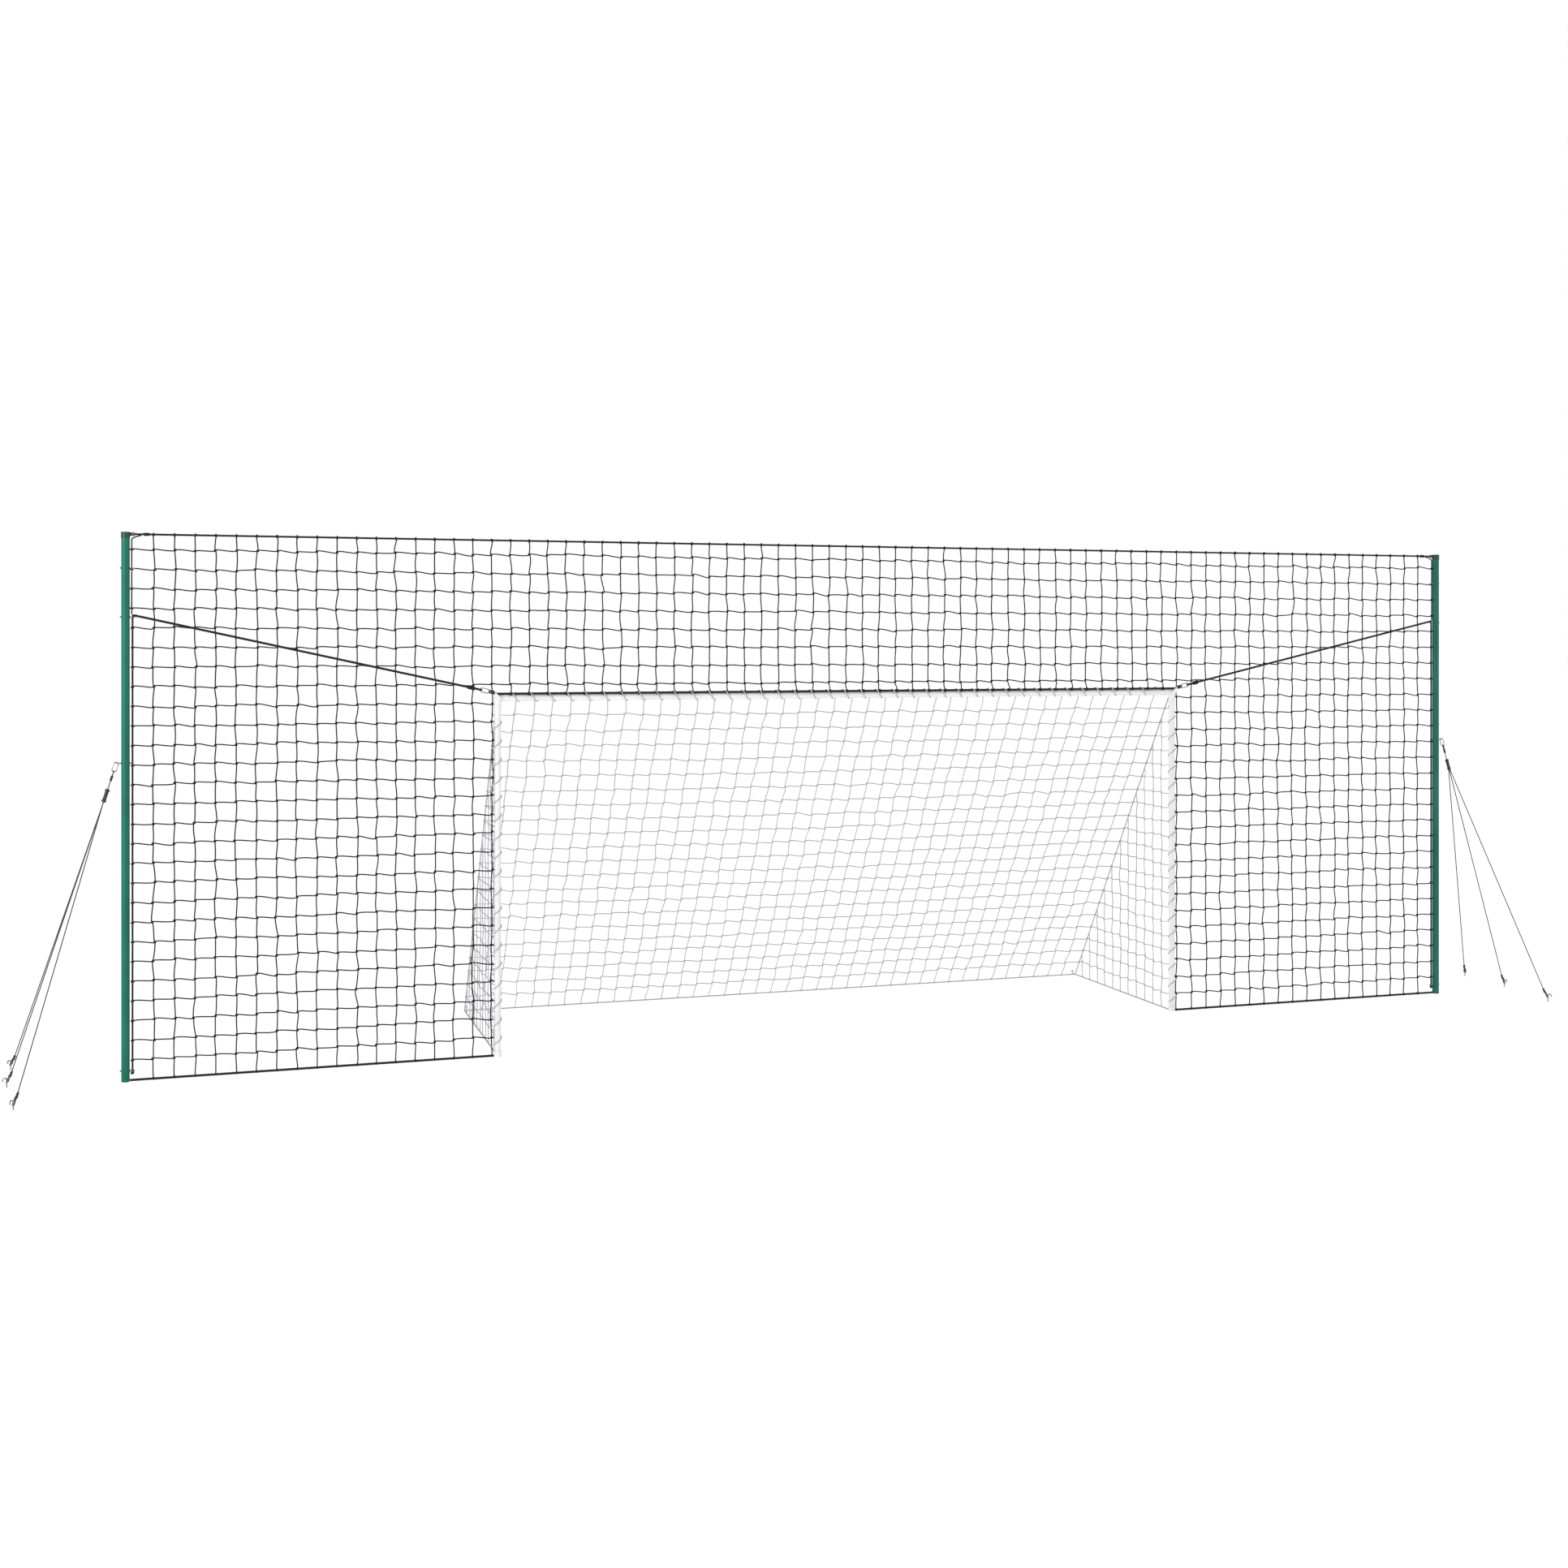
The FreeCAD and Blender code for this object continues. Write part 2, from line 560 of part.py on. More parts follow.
def goal_back_hem():
    """The rope along the ground under the back panel."""
    half = POST_X + WHITE_ROPE_R
    return rod(V(-half, GOAL_DEPTH, WHITE_ROPE_R), V(half, GOAL_DEPTH, WHITE_ROPE_R), WHITE_ROPE_R)


# ---- guy ropes, tensioners and pegs ----

def guy_tensioner(side):
    """A barrel that gathers the three guy ropes onto the leader."""
    centre, p_axis, q_axis = guy_frame(side)
    start = centre + p_axis * (TENSIONER_FROM - GUY_SEAT)
    head = TENSIONER_END
    body = [V(0, 0, 0), V(0, TENSIONER_R - TENSIONER_CHAMFER, 0), V(TENSIONER_CHAMFER, TENSIONER_R, 0),
            V(head, TENSIONER_R, 0), V(head + TENSIONER_CHAMFER, TENSIONER_WAIST_R, 0),
            V(TENSIONER_LENGTH - head - TENSIONER_CHAMFER, TENSIONER_WAIST_R, 0),
            V(TENSIONER_LENGTH - head, TENSIONER_R, 0),
            V(TENSIONER_LENGTH - TENSIONER_CHAMFER, TENSIONER_R, 0),
            V(TENSIONER_LENGTH, TENSIONER_R - TENSIONER_CHAMFER, 0), V(TENSIONER_LENGTH, 0, 0)]
    half = Part.Face(Part.makePolygon(body + body[:1]))
    return placed(half.revolve(V(0, 0, 0), X_AXIS, 360), start, p_axis, q_axis)


def guy_leader(side):
    """The short rope from the hook to the tensioner."""
    centre, p_axis, q_axis = guy_frame(side)
    start = centre + p_axis * (HOOK_END + GAP)
    return rod(start, centre + p_axis * (TENSIONER_FROM - GUY_SEAT - GAP), GUY_ROPE_R)


def peg_point(side, place):
    """Where a guy peg enters the ground."""
    outward, back = GUY_PEGS[place]
    return V(side * (POLE_X + outward), back, 0)


def guy_rope(side, place):
    """A rope from the tensioner to its peg."""
    centre, p_axis, q_axis = guy_frame(side)
    shift = GUY_SPACING * {"front": -1, "middle": 0, "back": 1}[place]
    start = centre + p_axis * (TENSIONER_FROM + TENSIONER_LENGTH + GUY_START - GUY_SEAT) + Y_AXIS * shift
    peg = peg_point(side, place)
    to_pole = unit(V(side * POLE_X, 0, 0) - peg)
    end = peg + to_pole * (PEG_R + GUY_ROPE_R + GAP) + Z_AXIS * GUY_END_Z
    return rod(start, end, GUY_ROPE_R)


def hooked_peg(point, away, radius, neck, bend, tail):
    """A steel peg driven to its hooked head. The shank stops at the ground, because the part stands on a floor."""
    turn_start = point + Z_AXIS * neck
    turn_top = turn_start + away * bend + Z_AXIS * bend
    turn_end = turn_start + away * (2 * bend)
    edges = [Part.LineSegment(point, turn_start).toShape(),
             Part.Arc(turn_start, turn_top, turn_end).toShape(),
             Part.LineSegment(turn_end, turn_end - Z_AXIS * tail).toShape()]
    return bent_wire(edges, radius)


def guy_pegs():
    """Six pegs, each with its hook turned away from the pole."""
    pegs = []
    for side in SIDES.values():
        for place in GUY_PEGS:
            point = peg_point(side, place)
            away = unit(point - V(side * POLE_X, 0, 0))
            pegs.append(hooked_peg(point, away, PEG_R, PEG_NECK_Z, PEG_BEND_R, PEG_TAIL))
    return Part.makeCompound(pegs)


def goal_net_pegs():
    """Two smaller pegs behind the back hem, one near each corner."""
    pegs = []
    for side in SIDES.values():
        point = V(side * (POST_X - 2 * HEM_ROPE_R), NET_PEG_Y, 0)
        pegs.append(hooked_peg(point, Y_AXIS, NET_PEG_R, NET_PEG_NECK_Z, NET_PEG_BEND_R, NET_PEG_TAIL))
    return Part.makeCompound(pegs)


# ---- every node ----

def sided_parts(side):
    """The nodes that each side of the object has."""
    guy_place = guy_frame(side)
    corner_place = corner_frame(side)
    parts = {
        "pole_lower": pole_lower(side),
        "pole_upper": pole_upper(side),
        "pole_cap": pole_cap(side),
        "button_carrier": button_carrier(side),
        "pole_button": pole_button(side),
        "guy_hook": placed(hook_body(), *guy_place),
        "guy_hook_gate": placed(hook_gate(), *guy_place),
        "guy_leader": guy_leader(side),
        "guy_tensioner": guy_tensioner(side),
        "corner_hook": placed(hook_body(), *corner_place),
        "corner_hook_gate": placed(hook_gate(), *corner_place),
        "corner_rope": corner_rope(side),
        "side_rope": side_rope(side),
        "wing_net": wing_net(side),
        "wing_hem_rope": wing_hem_rope(side),
        "goal_post": goal_post(side),
        "goal_elbow": goal_elbow(side),
        "goal_net_side": goal_net_side(side),
        "goal_side_hem": goal_side_hem(side),
        "goal_seam_rope": goal_seam_rope(side),
    }
    for place in GUY_PEGS:
        parts["guy_rope_" + place] = guy_rope(side, place)
    return parts


def shared_parts():
    """The nodes that the two sides share, and fasteners of one kind."""
    return {
        "pole_feet": Part.makeCompound([pole_foot(side) for side in SIDES.values()]),
        "eye_bolts": on_each_pole(eye_bolt),
        "eye_nuts": on_each_pole(eye_nut),
        "guy_pegs": guy_pegs(),
        "corner_rings": Part.makeCompound([corner_ring(side) for side in SIDES.values()]),
        "goal_post_feet": Part.makeCompound([goal_post_foot(side) for side in SIDES.values()]),
        "crossbar": crossbar(),
        "header_net": header_net(),
        "top_rope": top_rope(),
        "lintel_rope": lintel_rope(),
        "goal_net_back": goal_net_back(),
        "goal_back_hem": goal_back_hem(),
        "goal_net_pegs": goal_net_pegs(),
    }


def main():
    """Writes every node."""
    os.makedirs("parts", exist_ok=True)
    for name, side in SIDES.items():
        for node, shape in sided_parts(side).items():
            export(node + "_" + name, shape)
    for node, shape in shared_parts().items():
        export(node, shape)


main()
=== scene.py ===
import json
import math
import bpy
import numpy as np
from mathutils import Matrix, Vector


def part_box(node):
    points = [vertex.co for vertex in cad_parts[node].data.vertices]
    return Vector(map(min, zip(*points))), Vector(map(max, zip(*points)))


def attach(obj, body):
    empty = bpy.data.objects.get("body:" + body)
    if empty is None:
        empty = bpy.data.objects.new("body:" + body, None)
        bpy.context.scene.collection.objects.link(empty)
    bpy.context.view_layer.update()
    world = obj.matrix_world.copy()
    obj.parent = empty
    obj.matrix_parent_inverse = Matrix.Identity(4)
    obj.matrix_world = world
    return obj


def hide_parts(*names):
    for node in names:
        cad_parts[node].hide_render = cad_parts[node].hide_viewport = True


# Looks for the soccer goal with its backstop net. Everything is in metres, in the CAD model's frame.

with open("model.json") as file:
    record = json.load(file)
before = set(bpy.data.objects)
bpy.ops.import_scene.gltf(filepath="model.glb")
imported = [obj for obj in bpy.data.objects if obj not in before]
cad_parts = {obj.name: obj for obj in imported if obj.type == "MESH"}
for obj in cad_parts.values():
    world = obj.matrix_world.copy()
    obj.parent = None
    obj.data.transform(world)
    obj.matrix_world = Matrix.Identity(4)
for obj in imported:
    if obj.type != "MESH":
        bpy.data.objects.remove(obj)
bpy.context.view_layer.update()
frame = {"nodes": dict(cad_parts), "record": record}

BODY = "frame"
SIDES = {"left": -1, "right": 1}
UP = np.array([0.0, 0.0, 1.0])
random = np.random.default_rng(28)


# ---- places and sizes read from the CAD nodes ----

def middle(node):
    """The middle of a node's box."""
    low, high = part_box(node)
    return np.array((low + high) / 2)


END_FACE = 1e-4            # how close to a bar's end a point is on its end face


def axis_ends(node, near):
    """The two end centres of a straight round bar, the one nearest to a point first."""
    points = np.array([v.co for v in frame["nodes"][node].data.vertices])
    centred = points - points.mean(0)
    axis = np.linalg.svd(centred, full_matrices=False)[2][0]
    along = centred @ axis
    ends = [points[along < along.min() + END_FACE].mean(0), points[along > along.max() - END_FACE].mean(0)]
    return sorted(ends, key=lambda end: np.linalg.norm(end - near))


def unit(vector):
    """The vector at length 1."""
    return vector / np.linalg.norm(vector)


NET_Y = middle("header_net")[1]
POLE_X = middle("pole_upper_right")[0]
POST_X = middle("goal_post_right")[0]
TOP_Z = middle("top_rope")[2]
HEM_Z = middle("wing_hem_rope_right")[2]
LINTEL = middle("lintel_rope")
SIDE_ROPE_X = middle("side_rope_right")[0]
CROSSBAR = middle("crossbar")
TUBE_R = (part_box("crossbar")[1].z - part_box("crossbar")[0].z) / 2
WING_EDGE_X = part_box("wing_net_right")[0].x
BACK_HEM = middle("goal_back_hem")
WHITE_ROPE_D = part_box("goal_back_hem")[1].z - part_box("goal_back_hem")[0].z
HEM_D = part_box("lintel_rope")[1].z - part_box("lintel_rope")[0].z
TOP_ROPE_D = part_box("top_rope")[1].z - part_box("top_rope")[0].z
SIDE_ROPE_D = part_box("side_rope_right")[1].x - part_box("side_rope_right")[0].x
GUY_D = 0.006
CORNER_D = 0.014
EDGE_CORD_D = 0.008
SELVEDGE_X = 0.0325        # from a pole's axis to the net's own edge cord, which pulls inside the eye
EYE_WIRE_R = 0.003         # eyes, hooks and pegs are a little thinner than this
PEG_R = 0.004


# ---- camera ----

CAMERA_PLACE = (-3.892, NET_Y - 10.797, 2.407)
CAMERA_YAW = math.radians(-17.64)
CAMERA_LENS = 42.39
CAMERA_SENSOR = 36
CAMERA_SHIFT = -0.0887
CAMERA_REACH = 200


def add_camera():
    """A level camera to the left of the middle, a little lower than the poles' tops."""
    camera = bpy.data.cameras.new("camera")
    camera.lens = CAMERA_LENS
    camera.sensor_width = CAMERA_SENSOR
    camera.shift_y = CAMERA_SHIFT
    camera.clip_end = CAMERA_REACH
    holder = bpy.data.objects.new("camera", camera)
    holder.location = CAMERA_PLACE
    holder.rotation_euler = (math.radians(90), 0, CAMERA_YAW)
    bpy.context.scene.collection.objects.link(holder)
    bpy.context.scene.camera = holder


add_camera()
bpy.context.scene.view_settings.view_transform = "Standard"


# ---- mesh helpers ----

OFF_AXIS = (0.31, 0.55, 0.77)    # a direction that no tube starts along


def add_piece(name, points, faces, material, replaces=()):
    """One mesh piece that rides on the frame."""
    mesh = bpy.data.meshes.new(name)
    mesh.from_pydata(points.tolist(), [], faces)
    mesh.polygons.foreach_set("use_smooth", [True] * len(mesh.polygons))
    mesh.materials.append(material)
    piece = bpy.data.objects.new(name, mesh)
    bpy.context.scene.collection.objects.link(piece)
    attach(piece, BODY)
    if replaces:
        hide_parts(*replaces)
    return piece


def transport(path):
    """A normal and a binormal at each point of a polyline, turning as little as possible."""
    tangents = np.gradient(path, axis=0)
    tangents /= np.linalg.norm(tangents, axis=1)[:, None]
    normal = np.cross(tangents[0], OFF_AXIS)
    normals = []
    for tangent in tangents:
        normal = unit(normal - tangent * (normal @ tangent))
        normals.append(normal)
    normals = np.array(normals)
    return normals, np.cross(tangents, normals)


def tube(path, radius, sides, twist=0.0, lobes=None):
    """Points and faces of a closed tube. lobes gives the outline's radius at each of its sides."""
    path = np.asarray(path, float)
    normals, binormals = transport(path)
    lengths = np.concatenate([[0], np.cumsum(np.linalg.norm(np.diff(path, axis=0), axis=1))])
    around = np.linspace(0, 2 * math.pi, sides, endpoint=False)
    outline = radius * (np.ones(sides) if lobes is None else lobes)
    angles = around[None, :] + twist * lengths[:, None]
    rings = (path[:, None] + outline[None, :, None] * (np.cos(angles)[..., None] * normals[:, None]
                                                      + np.sin(angles)[..., None] * binormals[:, None]))
    count = len(path)
    index = np.arange(count * sides).reshape(count, sides)
    nxt = np.roll(index, -1, axis=1)
    quads = np.stack([index[:-1], nxt[:-1], nxt[1:], index[1:]], axis=-1).reshape(-1, 4).tolist()
    return rings.reshape(-1, 3), quads + [index[0, ::-1].tolist(), index[-1].tolist()]


def joined(parts):
    """Points and faces of several closed shapes as one."""
    points, faces, start = [], [], 0
    for part_points, part_faces in parts:
        points.append(part_points)
        faces += [[start + corner for corner in face] for face in part_faces]
        start += len(part_points)
    return np.concatenate(points), faces


# ---- procedural materials ----

def new_material(name, color, roughness, metallic=0.0):
    """A Principled material and its node tree."""
    material = bpy.data.materials.new(name)
    material.use_nodes = True
    nodes = material.node_tree.nodes
    shader = nodes["Principled BSDF"]
    shader.inputs["Base Color"].default_value = (*color, 1)
    shader.inputs["Roughness"].default_value = roughness
    shader.inputs["Metallic"].default_value = metallic
    return material, nodes, material.node_tree.links, shader


def add_noise(nodes, links, scale, detail=4.0, stretch=(1, 1, 1)):
    """A noise texture in the object's own coordinates."""
    place = nodes.new("ShaderNodeTexCoord")
    mapping = nodes.new("ShaderNodeMapping")
    mapping.inputs["Scale"].default_value = stretch
    noise = nodes.new("ShaderNodeTexNoise")
    noise.inputs["Scale"].default_value = scale
    noise.inputs["Detail"].default_value = detail
    links.new(place.outputs["Object"], mapping.inputs["Vector"])
    links.new(mapping.outputs["Vector"], noise.inputs["Vector"])
    return noise


def add_colors(nodes, links, noise, shader, low, high):
    """Colour that varies between two tones with the noise."""
    ramp = nodes.new("ShaderNodeValToRGB")
    ramp.color_ramp.elements[0].position = 0.35
    ramp.color_ramp.elements[1].position = 0.65
    ramp.color_ramp.elements[0].color = (*low, 1)
    ramp.color_ramp.elements[1].color = (*high, 1)
    links.new(noise.outputs["Fac"], ramp.inputs["Fac"])
    links.new(ramp.outputs["Color"], shader.inputs["Base Color"])


def add_roughness(nodes, links, noise, shader, low, high):
    """Roughness that varies with the noise."""
    span = nodes.new("ShaderNodeMapRange")
    span.inputs["To Min"].default_value = low
    span.inputs["To Max"].default_value = high
    links.new(noise.outputs["Fac"], span.inputs["Value"])
    links.new(span.outputs["Result"], shader.inputs["Roughness"])


def add_bump(nodes, links, noise, shader, strength, distance):
    """Relief from the noise."""
    bump = nodes.new("ShaderNodeBump")
    bump.inputs["Strength"].default_value = strength
    bump.inputs["Distance"].default_value = distance
    links.new(noise.outputs["Fac"], bump.inputs["Height"])
    links.new(bump.outputs["Normal"], shader.inputs["Normal"])


def add_lay(nodes, links, shader, pitch):
    """Slanting ridges of twisted strands, over the relief that is there already."""
    place = nodes.new("ShaderNodeTexCoord")
    wave = nodes.new("ShaderNodeTexWave")
    wave.bands_direction = "DIAGONAL"
    wave.inputs["Scale"].default_value = math.pi / 5 / pitch     # at scale 1 the bands repeat every pi / 5
    wave.inputs["Distortion"].default_value = 0.6
    bump = nodes.new("ShaderNodeBump")
    bump.inputs["Strength"].default_value = 0.7
    bump.inputs["Distance"].default_value = 0.0012
    links.new(place.outputs["Object"], wave.inputs["Vector"])
    links.new(wave.outputs["Fac"], bump.inputs["Height"])
    links.new(shader.inputs["Normal"].links[0].from_socket, bump.inputs["Normal"])
    links.new(bump.outputs["Normal"], shader.inputs["Normal"])


def green_paint():
    """Powder coat on the poles: fine orange peel and slow changes of tone."""
    material, nodes, links, shader = new_material("green_paint", (0.004, 0.13, 0.09), 0.3)
    shader.inputs["Specular IOR Level"].default_value = 0.2
    low, high = (0.002, 0.112, 0.076), (0.005, 0.146, 0.102)
    add_colors(nodes, links, add_noise(nodes, links, 3.0), shader, low, high)
    add_roughness(nodes, links, add_noise(nodes, links, 45.0), shader, 0.22, 0.36)
    add_bump(nodes, links, add_noise(nodes, links, 900.0, 2.0), shader, 0.25, 0.0002)
    return material


def white_paint():
    """Powder coat on the goal's tubes, with faint scuffs."""
    material, nodes, links, shader = new_material("white_paint", (0.74, 0.74, 0.76), 0.4)
    add_colors(nodes, links, add_noise(nodes, links, 6.0), shader, (0.70, 0.70, 0.72), (0.78, 0.78, 0.80))
    add_roughness(nodes, links, add_noise(nodes, links, 60.0, 6.0, (1, 1, 0.2)), shader, 0.3, 0.55)
    add_bump(nodes, links, add_noise(nodes, links, 900.0, 2.0), shader, 0.2, 0.0002)
    return material


def moulded_plastic(name, low, high, roughness):
    """Moulded plastic with a fine grain."""
    material, nodes, links, shader = new_material(name, high, roughness)
    add_colors(nodes, links, add_noise(nodes, links, 25.0), shader, low, high)
    add_roughness(nodes, links, add_noise(nodes, links, 120.0), shader, roughness - 0.08, roughness + 0.1)
    add_bump(nodes, links, add_noise(nodes, links, 1500.0, 2.0), shader, 0.3, 0.0002)
    return material


def zinc_steel():
    """Zinc plate: mottled grey metal with small changes of gloss."""
    material, nodes, links, shader = new_material("zinc_steel", (0.35, 0.35, 0.36), 0.35, 1.0)
    add_colors(nodes, links, add_noise(nodes, links, 160.0), shader, (0.24, 0.24, 0.25), (0.42, 0.42, 0.43))
    add_roughness(nodes, links, add_noise(nodes, links, 300.0), shader, 0.22, 0.48)
    add_bump(nodes, links, add_noise(nodes, links, 1200.0), shader, 0.15, 0.0002)
    return material


def fibre(name, low, high, roughness, sheen, lay_pitch=None):
    """Twisted fibre: fine hairs, a dull sheen, and with a lay pitch the ridges of its strands."""
    material, nodes, links, shader = new_material(name, high, roughness)
    shader.inputs["Sheen Weight"].default_value = sheen
    shader.inputs["Specular IOR Level"].default_value = 0.3
    add_colors(nodes, links, add_noise(nodes, links, 700.0, 6.0), shader, low, high)
    add_roughness(nodes, links, add_noise(nodes, links, 220.0), shader, roughness - 0.08, roughness + 0.1)
    add_bump(nodes, links, add_noise(nodes, links, 2600.0, 4.0), shader, 0.5, 0.0004)
    if lay_pitch:
        add_lay(nodes, links, shader, lay_pitch)
    return material


GREEN = green_paint()
WHITE_PAINT = white_paint()
CAP_PLASTIC = moulded_plastic("cap_plastic", (0.002, 0.030, 0.021), (0.005, 0.048, 0.034), 0.45)
BLACK_PLASTIC = moulded_plastic("black_plastic", (0.008, 0.008, 0.009), (0.02, 0.02, 0.021), 0.5)
WHITE_PLASTIC = moulded_plastic("white_plastic", (0.70, 0.70, 0.73), (0.78, 0.78, 0.80), 0.35)
STEEL = zinc_steel()
BLACK_TWINE = fibre("black_twine", (0.004, 0.004, 0.005), (0.014, 0.014, 0.015), 0.8, 0.1, 0.005)
BLACK_ROPE = fibre("black_rope", (0.003, 0.003, 0.004), (0.010, 0.010, 0.011), 0.75, 0.1)
GUY_ROPE = fibre("guy_rope", (0.015, 0.015, 0.017), (0.06, 0.06, 0.063), 0.75, 0.15)
WHITE_TWINE = fibre("white_twine", (0.44, 0.44, 0.47), (0.58, 0.58, 0.61), 0.8, 0.05, 0.004)
WHITE_ROPE = fibre("white_rope", (0.34, 0.34, 0.35), (0.48, 0.48, 0.49), 0.8, 0.05)

SLOT_MATERIALS = {
    "green_paint": GREEN, "cap_plastic": CAP_PLASTIC, "black_plastic": BLACK_PLASTIC, "steel": STEEL,
    "guy_rope": GUY_ROPE, "black_rope": BLACK_ROPE, "black_net": BLACK_TWINE, "white_paint": WHITE_PAINT,
    "white_plastic": WHITE_PLASTIC, "white_net": WHITE_TWINE, "white_rope": WHITE_ROPE,
}


def paint_nodes():
    """Each CAD node takes its slot's material."""
    for part in frame["record"]["subparts"]:
        mesh = frame["nodes"][part["node"]].data
        mesh.materials.clear()
        mesh.materials.append(SLOT_MATERIALS[part["material_slot"]])


paint_nodes()


# ---- ropes ----

LAY_SIDES = 18
LAY_STEPS = 12             # rings in one turn of the lay
LAY_TURN = 3.4             # a turn's length, in diameters
STRAND_R = 0.58            # a strand's radius, as a share of the rope's
STRAND_OFFSET = 0.47       # from the rope's axis to a strand's, as a share of the rope's radius
WINDING_POINTS = 14        # points in one turn of a winding
WINDING_PITCH = 1.9        # from turn to turn, in radii of the line that is wound
WINDING_SIDES = 8
LOOP_POINTS, LEG_POINTS = 13, 7
LOOP_SIDES = 10
LEG_GAP = 0.8              # a leg's distance from the rope's axis where the loop closes, in rope radii


def lay_outline():
    """The outline of three strands laid together, as a share of the rope's radius."""
    around = np.linspace(0, 2 * math.pi, LAY_SIDES, endpoint=False)
    apart = (around + math.pi / 3) % (2 * math.pi / 3) - math.pi / 3
    return STRAND_OFFSET * np.cos(apart) + np.sqrt(STRAND_R ** 2 - (STRAND_OFFSET * np.sin(apart)) ** 2)


def route_line(points):
    """Points along the smooth curve that a rope's route gives."""
    curve = bpy.data.curves.new("route", "CURVE")
    curve.dimensions = "3D"
    spline = curve.splines.new("NURBS")
    spline.points.add(len(points) - 1)
    for place, point in zip(spline.points, points):
        place.co = (*point, 1)
    spline.order_u = 3
    spline.use_endpoint_u = True
    holder = bpy.data.objects.new("route", curve)
    mesh = bpy.data.meshes.new_from_object(holder)
    line = np.array([v.co for v in mesh.vertices])
    bpy.data.meshes.remove(mesh)
    bpy.data.curves.remove(curve)
    return line


def evenly(line, step):
    """The same line with points a step apart."""
    along = np.concatenate([[0], np.cumsum(np.linalg.norm(np.diff(line, axis=0), axis=1))])
    at = np.linspace(0, along[-1], max(3, int(along[-1] / step) + 1))
    return np.stack([np.interp(at, along, line[:, k]) for k in range(3)], axis=1)


def rope_shape(line, diameter):
    """A three-strand rope along a line."""
    turn = LAY_TURN * diameter
    path = evenly(np.asarray(line, float), turn / LAY_STEPS)
    return tube(path, diameter / 2, LAY_SIDES, 2 * math.pi / turn, lay_outline())


def straight_rope(node, diameter, material):
    """A rope that the object holds all the way, in place of its CAD bar."""
    start, end = axis_ends(node, middle(node) - UP)
    points, faces = rope_shape([start, end], diameter)
    return add_piece(node + "_laid", points, faces, material, [node])


def whipping(centre, axis, radius, wire, turns):
    """Turns of line wound tightly round a rope, as a knot or a whipping has."""
    axis = unit(axis)
    side = unit(np.cross(axis, [0.2, 0.9, 0.37]))
    other = np.cross(axis, side)
    share = np.linspace(0, 1, WINDING_POINTS * turns)
    angle = 2 * math.pi * turns * share
    lift = (share - 0.5) * turns * wire * WINDING_PITCH
    path = (centre + np.outer(np.cos(angle), side) * radius + np.outer(np.sin(angle), other) * radius
            + np.outer(lift, axis))
    return tube(path, wire, WINDING_SIDES)


def eye_splice(bar, toward, across, loop_radius, rope_radius, length):
    """The loop of a rope round a bar: half a turn and two legs that run together."""
    toward, across = unit(toward), unit(across)
    turn = np.linspace(math.pi / 2, 3 * math.pi / 2, LOOP_POINTS)
    arc = bar + np.outer(np.cos(turn), toward) * loop_radius + np.outer(np.sin(turn), across) * loop_radius
    share = np.linspace(0, 1, LEG_POINTS)[1:]
    narrow = loop_radius + (rope_radius * LEG_GAP - loop_radius) * (1 - np.cos(math.pi * share)) / 2
    leg = bar + np.outer(share * length, toward)
    first = (leg + np.outer(narrow, across))[::-1]
    last = leg - np.outer(narrow, across)
    return tube(np.concatenate([first, arc, last]), rope_radius, LOOP_SIDES)


# The ropes' routes on the left side, from the exit to the far end, as in the CAD model.
ROUTES = {
    "corner_rope": [(-4.2170, -0.4713, 2.5690), (-4.1350, -0.4722, 2.5507),
                    (-2.4068, -0.4918, 2.1658), (-2.3249, -0.4927, 2.1476)],
    "guy_leader": [(-4.3300, -0.4610, 1.7058), (-4.3444, -0.4605, 1.6600), (-4.3588, -0.4600, 1.6141)],
    "guy_rope_front": [(-4.3819, -0.4671, 1.5410), (-4.3909, -0.4775, 1.5077),
                       (-4.7826, -0.9312, 0.0633), (-4.7916, -0.9416, 0.0300)],
    "guy_rope_middle": [(-4.3819, -0.4591, 1.5410), (-4.3930, -0.4580, 1.5068),
                        (-4.8586, -0.4133, 0.0642), (-4.8697, -0.4122, 0.0300)],
    "guy_rope_back": [(-4.3819, -0.4511, 1.5410), (-4.3929, -0.4406, 1.5084),
                      (-4.8803, 0.0234, 0.0626), (-4.8913, 0.0339, 0.0300)],
}


def route(name, side):
    """A rope's route on one side of the object. The right side mirrors the left."""
    return [np.array([point[0] * -side, point[1], point[2]]) for point in ROUTES[name]]


def add_cord(name, side_name, diameter, material):
    """A taut rope that something holds at each end, from its exit to its far end."""
    node = name + "_" + side_name
    line = route_line(route(name, SIDES[side_name]))
    points, faces = rope_shape(line, diameter)
    piece = add_piece(node + "_cord", points, faces, material, [node])


def add_knot(name, parts, material):
    """A knot's loops and turns as one piece."""
    points, faces = joined(parts)
    return add_piece(name, points, faces, material)


HOOK_BAR = 0.0033          # from a rope's end to the middle of the hook's wire that its loop is round
PEG_BAR = 0.0073           # the same for a peg
TOP_BAR = 0.002            # the same for the top rope and the cap's lug
CORNER_LOOP, CORNER_KNOT = 0.045, 0.050    # a loop's length, and where its knot is on the rope
LEADER_LOOP, LEADER_KNOT = 0.028, 0.034
GUY_LOOP, GUY_KNOT = 0.040, 0.045
TOP_LOOP, TOP_KNOT = 0.055, 0.060
LASHING_PLACE = 0.010      # from the lug's tip along the corner rope
LUG_INSET = (0.009, 0.0025)    # from a goal corner's outer and front faces to the middle of its lug's tip
LUG_Z = 2.130
BEND_REACH = 0.012         # how far the bend over a pole's eye follows the side rope and the corner rope
BEND_RISE, BEND_DIP = 0.009, 0.001
STOPPER_LIFT = 0.004


